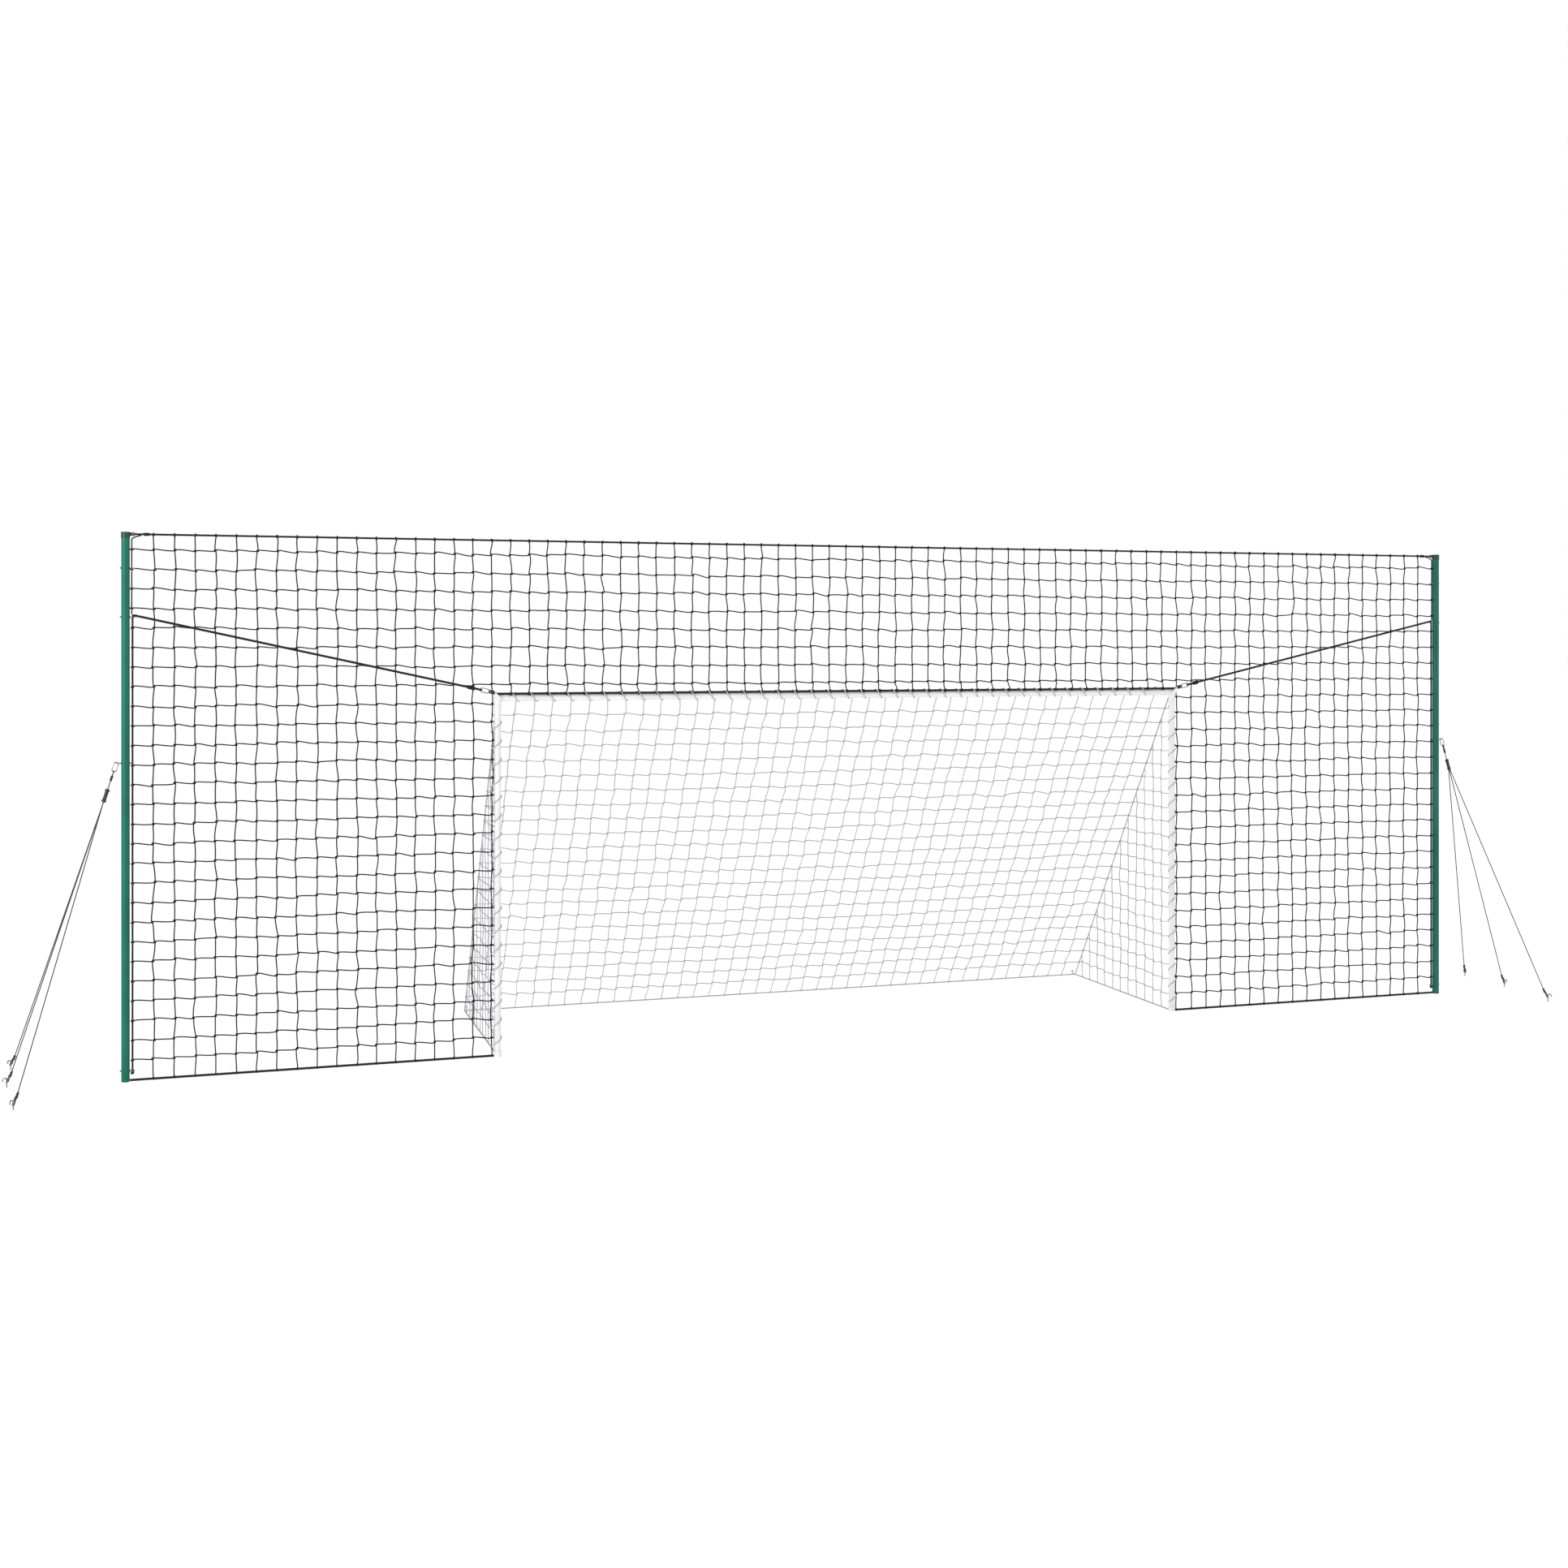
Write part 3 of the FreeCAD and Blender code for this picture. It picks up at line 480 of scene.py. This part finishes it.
def lug_point(side):
    """The middle of the lug's tip on a goal corner, where the welded ring hangs."""
    low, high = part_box("goal_elbow_right")
    return np.array([side * (high.x - LUG_INSET[0]), low.y + LUG_INSET[1], LUG_Z])


def corner_rope(name, side):
    """The rope from the pole's eye to the goal corner's hook, with its bend, loop, knot and lashing."""
    eye_end, *_, hook_end = route("corner_rope", side)
    along = unit(eye_end - hook_end)
    radius = CORNER_D / 2
    thin = radius * 0.8
    bar = hook_end - along * HOOK_BAR
    loop = eye_splice(bar, along, np.cross(along, UP), EYE_WIRE_R + thin, thin, CORNER_LOOP)
    turns = whipping(hook_end + along * CORNER_KNOT, along, radius * 1.2, radius * 0.7, 4)
    knot = add_knot("corner_rope_knot_" + name, [loop, turns], BLACK_ROPE)
    lashing = whipping(lug_point(side) + along * LASHING_PLACE, along, radius * 1.1, radius * 0.6, 4)
    add_knot("corner_ring_lashing_" + name, [lashing], BLACK_ROPE)
    top = axis_ends("side_rope_" + name, eye_end)[0]
    bend = route_line([top - UP * BEND_REACH, top + UP * BEND_RISE, eye_end - UP * BEND_DIP,
                       eye_end - along * BEND_REACH])
    points, faces = rope_shape(bend, CORNER_D)
    over = add_piece("corner_rope_bend_" + name, points, faces, BLACK_ROPE)
    add_cord("corner_rope", name, CORNER_D, BLACK_ROPE)


def guy_ropes(name, side):
    """The leader from the guy hook to the tensioner, and the three ropes from there to the pegs."""
    radius = GUY_D / 2
    start, *_, end = route("guy_leader", side)
    along = unit(end - start)
    loop = eye_splice(start - along * HOOK_BAR, along, [0, 1, 0], EYE_WIRE_R + radius, radius, LEADER_LOOP)
    turns = whipping(start + along * LEADER_KNOT, along, radius * 1.5, radius, 5)
    knot = add_knot("guy_leader_knot_" + name, [loop, turns], GUY_ROPE)
    add_cord("guy_leader", name, GUY_D, GUY_ROPE)
    foot = np.array([side * POLE_X, NET_Y, 0.0])
    for place in ("front", "middle", "back"):
        top, *_, low = route("guy_rope_" + place, side)
        along = unit(low - top)
        outward = unit((low - foot) * [1, 1, 0])
        peg = low + outward * PEG_BAR
        loop = eye_splice(peg, -along, np.cross(outward, UP), PEG_R + radius, radius, GUY_LOOP)
        turns = whipping(low - along * GUY_KNOT, along, radius * 1.5, radius, 5)
        knot = add_knot("guy_knot_" + place + "_" + name, [loop, turns], GUY_ROPE)
        add_cord("guy_rope_" + place, name, GUY_D, GUY_ROPE)


for side_name, side_sign in SIDES.items():
    corner_rope(side_name, side_sign)
    guy_ropes(side_name, side_sign)


def border_ropes():
    """The ropes that the nets and the frame hold along their whole length."""
    straight_rope("top_rope", TOP_ROPE_D, BLACK_ROPE)
    straight_rope("lintel_rope", HEM_D, BLACK_ROPE)
    straight_rope("goal_back_hem", WHITE_ROPE_D, WHITE_ROPE)
    for name in SIDES:
        straight_rope("side_rope_" + name, SIDE_ROPE_D, BLACK_ROPE)
        straight_rope("wing_hem_rope_" + name, HEM_D, BLACK_ROPE)
        straight_rope("goal_side_hem_" + name, WHITE_ROPE_D, WHITE_ROPE)
        straight_rope("goal_seam_rope_" + name, WHITE_ROPE_D, WHITE_ROPE)


border_ropes()


def rope_end_knots():
    """The top rope's loops through the cap lugs, and the stopper knots under the foot eyes."""
    for name, side in SIDES.items():
        inward = np.array([-side, 0.0, 0.0])
        radius = TOP_ROPE_D / 2
        thin = radius * 0.8
        bar = np.array([side * (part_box("top_rope")[1].x + TOP_BAR), NET_Y, TOP_Z])
        loop = eye_splice(bar, inward, [0, 1, 0], EYE_WIRE_R + thin, thin, TOP_LOOP)
        turns = whipping(bar + inward * TOP_KNOT, inward, radius * 1.1, radius * 0.5, 5)
        add_knot("top_rope_knot_" + name, [loop, turns], BLACK_ROPE)
        foot = axis_ends("side_rope_" + name, np.zeros(3))[0]
        stopper = whipping(foot + UP * STOPPER_LIFT, UP, SIDE_ROPE_D * 0.55, SIDE_ROPE_D * 0.38, 2)
        add_knot("side_rope_stopper_" + name, [stopper], BLACK_ROPE)


rope_end_knots()


# ---- square-mesh netting ----

WING_COLUMNS = 18
HEADER_COLUMNS = 41
MESH = 0.1084              # from knot to knot
NET_ROWS = 27              # rows of knots, from the ground up
FIRST_ROW_DROP = 0.084     # from the top rope to the highest row
HEADER_FIRST_ROW = 20      # the lowest row over the crossbar
BLACK_TWINE_R = 0.0038
WHITE_TWINE_R = 0.0030
BLACK_NETTING = (BLACK_TWINE_R, 5, BLACK_TWINE, "black_net")    # radius, sides, material and slot
WHITE_NETTING = (WHITE_TWINE_R, 4, WHITE_TWINE, "white_net")
HITCH_R = BLACK_TWINE_R * 0.8
HEM_HITCH_R = BLACK_TWINE_R * 0.5
NET_JITTER = 0.0035
NET_SLACK = 0.010          # how far the backstop bulges to and fro
SLACK_WAVES = 5            # half waves of it across the backstop's width
TWINE_WAVE = 0.0016
ROW_STEP = 0.0042          # a row leaves each knot this far above it and comes to the next this far below
ROW_SPREAD = 0.0012
COLUMN_SPREAD = 0.0022
SHARES = np.array([0, 0.07, 0.3, 0.55, 0.8, 0.93])     # where twine bends between two knots
KNOT_WIDTH, KNOT_DEPTH = 1.25, 0.8     # in twine radii
KNOT_POINTS, KNOT_SIDES = 10, 4
HITCH_WIDTH, HITCH_RISE = 0.7, 1.2     # from the rope's surface, and along it to each side, in twine radii
HITCH_POINTS, HITCH_SIDES = 21, 5
CIRCLE_POINTS = 48
LACING_POINTS = 26         # points in one turn of a lacing
LACING_SIDES = 6
GROUND_CLEAR = 0.0003      # turns of twine under a rope on the ground are pressed flat
EDGE_CORD_START = 0.012    # above the side rope's eye
EDGE_CORD_TURNS = (0.020, 0.018)       # where it bends: under the cap, and under the top rope
EDGE_CORD_TIE = (0.030, 0.006)         # where it is tied: in from the top rope's end, and under the rope


def side_rope_top():
    """The height of the eye that the side rope leaves the pole at."""
    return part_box("side_rope_right")[1].z


def backstop_grid():
    """The knots of the whole backstop, by column and row, hung a little unevenly between its ropes."""
    wing = np.linspace(-SIDE_ROPE_X, -WING_EDGE_X, WING_COLUMNS + 1)
    header = np.linspace(-WING_EDGE_X, WING_EDGE_X, HEADER_COLUMNS + 1)
    x = np.concatenate([wing[:-1], header, -wing[-2::-1]])
    rows = TOP_Z - FIRST_ROW_DROP - MESH * np.arange(NET_ROWS)[::-1]
    z = np.concatenate([[HEM_Z], rows, [TOP_Z]])
    grid = np.empty((len(x), len(z), 3))
    grid[..., 0] = x[:, None]
    grid[..., 1] = NET_Y
    grid[..., 2] = z[None, :]
    inside = np.zeros(grid.shape[:2])
    inside[1:-1, 1:-1] = 1
    grid += random.normal(0, NET_JITTER, grid.shape) * inside[..., None] * [1, 0.6, 1]
    along = np.linspace(0, 1, len(x))[:, None]
    up = np.linspace(0, 1, len(z))[None, :]
    grid[..., 1] += NET_SLACK * np.sin(math.pi * up) * np.sin(SLACK_WAVES * math.pi * along) * inside
    above_eye = z > side_rope_top()
    for column, side in ((0, -1), (-1, 1)):
        grid[column, above_eye, 0] = side * (POLE_X - SELVEDGE_X)
    return grid


def strand(knots, across, step, spread):
    """Twine through a line of knots. It leaves a knot on one side and comes to the next on the other."""
    knots = np.asarray(knots, float)
    spans = len(knots) - 1
    lift = step + random.normal(0, spread, spans)
    profile = np.cos(math.pi * SHARES)
    profile[0] = 0
    bulge = random.normal(0, TWINE_WAVE, (spans, 3))
    steps = knots[:-1, None] + (knots[1:] - knots[:-1])[:, None] * SHARES[None, :, None]
    steps = steps + lift[:, None, None] * profile[None, :, None] * np.asarray(across, float)
    steps = steps + bulge[:, None] * np.sin(math.pi * SHARES)[None, :, None]
    return np.concatenate([steps.reshape(-1, 3), knots[-1:]])


def row_strand(knots):
    """Twine that runs from side to side."""
    return strand(knots, UP, ROW_STEP, ROW_SPREAD)


def column_strand(knots, across=(1, 0, 0)):
    """Twine that runs up and down."""
    return strand(knots, across, 0.0, COLUMN_SPREAD)


def net_knot(centre, normal, radius):
    """The knot where two twines cross: one and a quarter turns that bite over the crossing."""
    normal = unit(normal)
    side = unit(np.cross(normal, [0.17, 0.31, 0.93]))
    other = np.cross(normal, side)
    turn = random.uniform(0, 2 * math.pi) + np.linspace(0, 2.5 * math.pi, KNOT_POINTS)
    reach = radius * KNOT_WIDTH
    path = (centre + np.outer(np.cos(turn), side) * reach + np.outer(np.sin(turn), other) * reach
            + np.outer(np.sin(2 * turn), normal) * radius * KNOT_DEPTH)
    return tube(path, radius, KNOT_SIDES)


def hitch(centre, axis, rope_radius, twine):
    """A twine's two turns round a rope, where the net hangs from it."""
    axis = unit(axis)
    side = unit(np.cross(axis, [0.3, 0.62, 0.72]))
    other = np.cross(axis, side)
    turn = random.uniform(0, 2 * math.pi) + np.linspace(0, 4 * math.pi, HITCH_POINTS)
    reach = rope_radius + twine * HITCH_WIDTH
    lift = np.linspace(-HITCH_RISE, HITCH_RISE, len(turn)) * twine
    path = (centre + np.outer(np.cos(turn), side) * reach + np.outer(np.sin(turn), other) * reach
            + np.outer(lift, axis))
    return tube(path, twine, HITCH_SIDES)


def add_net(name, node, strands, knots, normal, netting):
    """A panel of netting as one piece, in place of its CAD plate."""
    radius, sides, material, slot = netting
    parts = [tube(path, radius, sides) for path in strands]
    parts += [net_knot(centre, normal, radius * 1.05) for centre in knots]
    points, faces = joined(parts)
    return add_piece(name, points, faces, material, [node])


def outline_round(circles, count):
    """Evenly spaced points on the tightest loop round some circles, each given as (u, v, radius)."""
    turn = np.linspace(0, 2 * math.pi, CIRCLE_POINTS, endpoint=False)
    cloud = sorted((u + r * math.cos(t), v + r * math.sin(t)) for u, v, r in circles for t in turn)

    def chain(points):
        line = []
        for point in points:
            while len(line) > 1 and ((line[-1][0] - line[-2][0]) * (point[1] - line[-2][1])
                                     - (line[-1][1] - line[-2][1]) * (point[0] - line[-2][0])) <= 0:
                line.pop()
            line.append(point)
        return line[:-1]

    loop = np.array(chain(cloud) + chain(cloud[::-1]))
    closed = np.concatenate([loop, loop[:1]])
    along = np.concatenate([[0], np.cumsum(np.linalg.norm(np.diff(closed, axis=0), axis=1))])
    at = np.linspace(0, along[-1], count, endpoint=False)
    return np.stack([np.interp(at, along, closed[:, k]) for k in range(2)], axis=1)


def lacing(start, axis, u_axis, v_axis, circles, pitch, length, radius):
    """Twine wound round several bars that run side by side, as a net is laced to its frame."""
    outline = outline_round([(u, v, r + radius) for u, v, r in circles], LACING_POINTS)
    steps = np.arange(int(round(length / pitch)) * LACING_POINTS)
    around = outline[steps % LACING_POINTS]
    path = (np.asarray(start, float) + np.outer(around[:, 0], u_axis) + np.outer(around[:, 1], v_axis)
            + np.outer(steps / LACING_POINTS * pitch, axis))
    return tube(path, radius, LACING_SIDES)


def backstop():
    """The two wings and the header, from one grid, so that their rows run on from one to the next."""
    grid = backstop_grid()
    last = grid.shape[0] - 1
    wings = {"left": range(0, WING_COLUMNS + 1), "right": range(last, last - WING_COLUMNS - 1, -1)}
    normal = np.array([0.0, 1.0, 0.0])
    post_edge = POST_X + TUBE_R + BLACK_TWINE_R
    for name, columns in wings.items():
        side = SIDES[name]
        strands = [column_strand(grid[i, :]) for i in columns[1:]]
        for j in range(1, NET_ROWS + 1):
            row = [grid[i, j] for i in columns]
            if j < HEADER_FIRST_ROW:
                row.append(np.array([side * post_edge, NET_Y, row[-1][2]]))
            strands.append(row_strand(row[::-side]))
        knots = [grid[i, j] for i in columns[1:] for j in range(1, NET_ROWS + 1)]
        add_net("wing_net_twine_" + name, "wing_net_" + name, strands, knots, normal, BLACK_NETTING)
        add_selvedge(name, side)
    inner = range(WING_COLUMNS + 1, WING_COLUMNS + HEADER_COLUMNS)
    strands = []
    for i in inner:
        foot = np.array([grid[i, HEADER_FIRST_ROW - 1, 0], LINTEL[1], LINTEL[2] + HEM_D / 2])
        strands.append(column_strand(np.concatenate([[foot], grid[i, HEADER_FIRST_ROW:]])))
    for j in range(HEADER_FIRST_ROW, NET_ROWS + 1):
        strands.append(row_strand(grid[WING_COLUMNS:WING_COLUMNS + HEADER_COLUMNS + 1, j]))
    knots = [grid[i, j] for i in inner for j in range(HEADER_FIRST_ROW, NET_ROWS + 1)]
    add_net("header_net_twine", "header_net", strands, knots, normal, BLACK_NETTING)
    backstop_hitches(grid, wings, inner)


def add_selvedge(name, side):
    """The net's own edge cord, from the side rope's eye up to the cap, then under its lug."""
    x = side * (POLE_X - SELVEDGE_X)
    tied_x = side * (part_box("top_rope")[1].x - EDGE_CORD_TIE[0])
    line = route_line([(x, NET_Y, side_rope_top() + EDGE_CORD_START),
                       (x, NET_Y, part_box("pole_cap_" + name)[0].z - EDGE_CORD_TURNS[0]),
                       (x, NET_Y, TOP_Z - EDGE_CORD_TURNS[1]),
                       (tied_x, NET_Y, TOP_Z - EDGE_CORD_TIE[1])])
    points, faces = rope_shape(line, EDGE_CORD_D)
    add_piece("net_edge_cord_" + name, points, faces, BLACK_ROPE)


def backstop_hitches(grid, wings, inner):
    """The turns of twine that hold the backstop to its ropes."""
    x_axis = np.array([1.0, 0.0, 0.0])
    shapes = []
    for columns in wings.values():
        for i in columns[1:]:
            shapes.append(hitch(grid[i, -1], x_axis, TOP_ROPE_D / 2, HITCH_R))
            shapes.append(hitch(grid[i, 0], x_axis, HEM_D / 2, HEM_HITCH_R))
        for j in range(1, NET_ROWS + 1):
            shapes.append(hitch(grid[columns[0], j], UP, SIDE_ROPE_D / 2, HITCH_R))
    for i in inner:
        shapes.append(hitch(grid[i, -1], x_axis, TOP_ROPE_D / 2, HITCH_R))
        place = np.array([grid[i, 0, 0], LINTEL[1], LINTEL[2]])
        shapes.append(hitch(place, x_axis, HEM_D / 2, HITCH_R))
    points, faces = joined(shapes)
    points[:, 2] = np.maximum(points[:, 2], GROUND_CLEAR)
    add_piece("backstop_hitches", points, faces, BLACK_TWINE)


backstop()


# ---- goal net ----

BACK_COLUMNS = 40
BACK_ROWS = 22
SIDE_COLUMNS = 12
CROSSBAR_LACED_X = 2.13    # the lacing runs this far from the middle
POST_LACED_Z = (0.06, 2.02)
BACK_SAG = 0.030
SEAM_CLEAR = 0.02          # knots stay this far in front of the seam
HEAD_ROPE_D = WHITE_ROPE_D * 0.8
WHITE_HITCH_R = WHITE_TWINE_R * 0.7


def slope_ends():
    """The top and bottom of the sloping panel, read from a seam."""
    return axis_ends("goal_seam_rope_right", middle("goal_seam_rope_right") + UP)


def goal_back():
    """The sloping back of the goal net."""
    top, bottom = slope_ends()
    x = np.linspace(-POST_X, POST_X, BACK_COLUMNS + 1)
    share = np.linspace(0, 1, BACK_ROWS + 1)
    grid = np.empty((len(x), len(share), 3))
    grid[..., 0] = x[:, None]
    grid[..., 1] = top[1] + (bottom[1] - top[1]) * share[None, :]
    grid[..., 2] = top[2] + (bottom[2] - top[2]) * share[None, :]
    grid[:, -1, 1:] = BACK_HEM[1], BACK_HEM[2] + WHITE_ROPE_D / 2
    inside = np.zeros(grid.shape[:2])
    inside[1:-1, 1:-1] = 1
    fall = bottom - top
    normal = unit(np.array([0.0, -fall[2], fall[1]]))
    grid += random.normal(0, NET_JITTER, grid.shape) * inside[..., None]
    across = np.linspace(0, 1, len(x))
    sag = BACK_SAG * np.sin(math.pi * share)[None, :] * np.sin(math.pi * across)[:, None]
    grid -= sag[..., None] * normal
    strands = [column_strand(grid[i, :]) for i in range(1, BACK_COLUMNS)]
    strands += [row_strand(grid[:, j]) for j in range(1, BACK_ROWS)]
    knots = [grid[i, j] for i in range(1, BACK_COLUMNS) for j in range(1, BACK_ROWS)]
    add_net("goal_net_back_twine", "goal_net_back", strands, knots, normal, WHITE_NETTING)
    return grid


def goal_side(name, side, grid):
    """A triangular side of the goal net. Its rows meet the back's rows at the seam."""
    x = side * POST_X
    seam = grid[0 if side < 0 else -1]
    front = NET_Y + TUBE_R
    depth = BACK_HEM[1] - front
    columns = [front + depth * k / SIDE_COLUMNS for k in range(1, SIDE_COLUMNS)]
    rows = seam[1:-1]
    crossings = {}
    for k, y in enumerate(columns):
        for j, end in enumerate(rows):
            offset = random.normal(0, NET_JITTER, 3) * [0.5, 1, 1]
            if y < end[1] - SEAM_CLEAR:
                crossings[k, j] = np.array([x, y, end[2]]) + offset
    strands, knots = [], []
    for j, end in enumerate(rows):
        inner = [crossings[k, j] for k in range(len(columns)) if (k, j) in crossings]
        knots += inner
        strands.append(row_strand([(x, front, end[2]), *inner, (x, end[1], end[2])]))
    for k, y in enumerate(columns):
        inner = [crossings[k, j] for j in range(len(rows)) if (k, j) in crossings]
        slope_z = np.interp(y, seam[:, 1], seam[:, 2])
        strands.append(column_strand([(x, y, slope_z), *inner, (x, y, WHITE_ROPE_D / 2)], (0, 1, 0)))
    add_net("goal_net_side_twine_" + name, "goal_net_side_" + name, strands, knots, (1, 0, 0),
            WHITE_NETTING)


def goal_lacing(grid):
    """White twine round the crossbar, the posts, the seams and the hems, and the net's head rope."""
    x_axis, y_axis = np.array([1.0, 0.0, 0.0]), np.array([0.0, 1.0, 0.0])
    top, bottom = slope_ends()
    head = [(-POST_X, top[1], top[2]), (POST_X, top[1], top[2])]
    points, faces = rope_shape(head, HEAD_ROPE_D)
    add_piece("goal_net_head_rope", points, faces, WHITE_ROPE)
    shapes = []
    for i in range(1, BACK_COLUMNS):
        place = np.array([grid[i, 0, 0], BACK_HEM[1], BACK_HEM[2]])
        shapes.append(hitch(place, x_axis, WHITE_ROPE_D / 2, WHITE_HITCH_R))
    bars = [(0, 0, TUBE_R), (LINTEL[1] - CROSSBAR[1], LINTEL[2] - CROSSBAR[2], HEM_D / 2),
            (top[1] - CROSSBAR[1], top[2] - CROSSBAR[2], HEAD_ROPE_D / 2)]
    start = [-CROSSBAR_LACED_X, CROSSBAR[1], CROSSBAR[2]]
    laced = 2 * CROSSBAR_LACED_X
    shapes.append(lacing(start, x_axis, y_axis, UP, bars, MESH, laced, WHITE_TWINE_R))
    laced = POST_LACED_Z[1] - POST_LACED_Z[0]
    for side in SIDES.values():
        seam = grid[0 if side < 0 else -1]
        for point in seam[1:-1]:
            place = np.array([side * POST_X, point[1], point[2]])
            shapes.append(hitch(place, bottom - top, WHITE_ROPE_D / 2, WHITE_HITCH_R))
        bars = [(0, 0, TUBE_R), (side * (WING_EDGE_X - POST_X), 0, BLACK_TWINE_R)]
        start = [side * POST_X, NET_Y, POST_LACED_Z[0]]
        shapes.append(lacing(start, UP, x_axis, y_axis, bars, MESH, laced, WHITE_TWINE_R))
    points, faces = joined(shapes)
    points[:, 2] = np.maximum(points[:, 2], GROUND_CLEAR)
    add_piece("goal_net_lacing", points, faces, WHITE_TWINE)


def goal_net():
    """The goal's net and what ties it to the frame."""
    grid = goal_back()
    for name, side in SIDES.items():
        goal_side(name, side, grid)
    goal_lacing(grid)


goal_net()


# ---- floor, surroundings and light ----

FLOOR_HALF = 90.0
FLOOR_GLOW = 0.75          # keeps the ground as white as the surroundings
SKY_FROM, SKY_TO = 0.42, 0.65        # the upward part of a direction, where white starts and stops to dim
SKY_OVERHEAD = 0.35
LAMP_SIZE = (0.9, 5.4)
LAMP_PLACE = (10.0, NET_Y - 6, 2.9)
LAMP_AIM = (3.0, NET_Y, 1.5)
LAMP_POWER = {"left": 420, "right": 130}


def add_floor():
    """A plain pale floor."""
    material, *_, shader = new_material("floor", (0.5, 0.5, 0.5), 0.9)
    shader.inputs["Specular IOR Level"].default_value = 0.0
    shader.inputs["Emission Color"].default_value = (1, 1, 1, 1)
    shader.inputs["Emission Strength"].default_value = FLOOR_GLOW
    corners = [(x * FLOOR_HALF, y * FLOOR_HALF, 0) for x, y in ((-1, -1), (1, -1), (1, 1), (-1, 1))]
    mesh = bpy.data.meshes.new("floor")
    mesh.from_pydata(corners, [], [(0, 1, 2, 3)])
    mesh.materials.append(material)
    floor = bpy.data.objects.new("floor", mesh)
    bpy.context.scene.collection.objects.link(floor)


def add_light(name, place, aim, power):
    """A tall soft lamp."""
    lamp = bpy.data.lights.new(name, "AREA")
    lamp.shape = "RECTANGLE"
    lamp.size, lamp.size_y = LAMP_SIZE
    lamp.energy = power
    holder = bpy.data.objects.new(name, lamp)
    holder.location = place
    direction = Vector(aim) - Vector(place)
    holder.rotation_euler = direction.to_track_quat("-Z", "Y").to_euler()
    bpy.context.scene.collection.objects.link(holder)


def add_world():
    """White surroundings, dimmer overhead."""
    world = bpy.data.worlds.new("world")
    world.use_nodes = True
    nodes, links = world.node_tree.nodes, world.node_tree.links
    place = nodes.new("ShaderNodeTexCoord")
    split = nodes.new("ShaderNodeSeparateXYZ")
    span = nodes.new("ShaderNodeMapRange")
    span.inputs["From Min"].default_value = SKY_FROM
    span.inputs["From Max"].default_value = SKY_TO
    span.inputs["To Min"].default_value = 1.0
    span.inputs["To Max"].default_value = SKY_OVERHEAD
    links.new(place.outputs["Generated"], split.inputs["Vector"])
    links.new(split.outputs["Z"], span.inputs["Value"])
    links.new(span.outputs["Result"], nodes["Background"].inputs["Strength"])
    nodes["Background"].inputs["Color"].default_value = (1, 1, 1, 1)
    bpy.context.scene.world = world


add_floor()
add_world()
for side_name, side_sign in SIDES.items():
    mirror = np.array([side_sign, 1, 1])
    add_light("lamp_" + side_name, LAMP_PLACE * mirror, LAMP_AIM * mirror, LAMP_POWER[side_name])
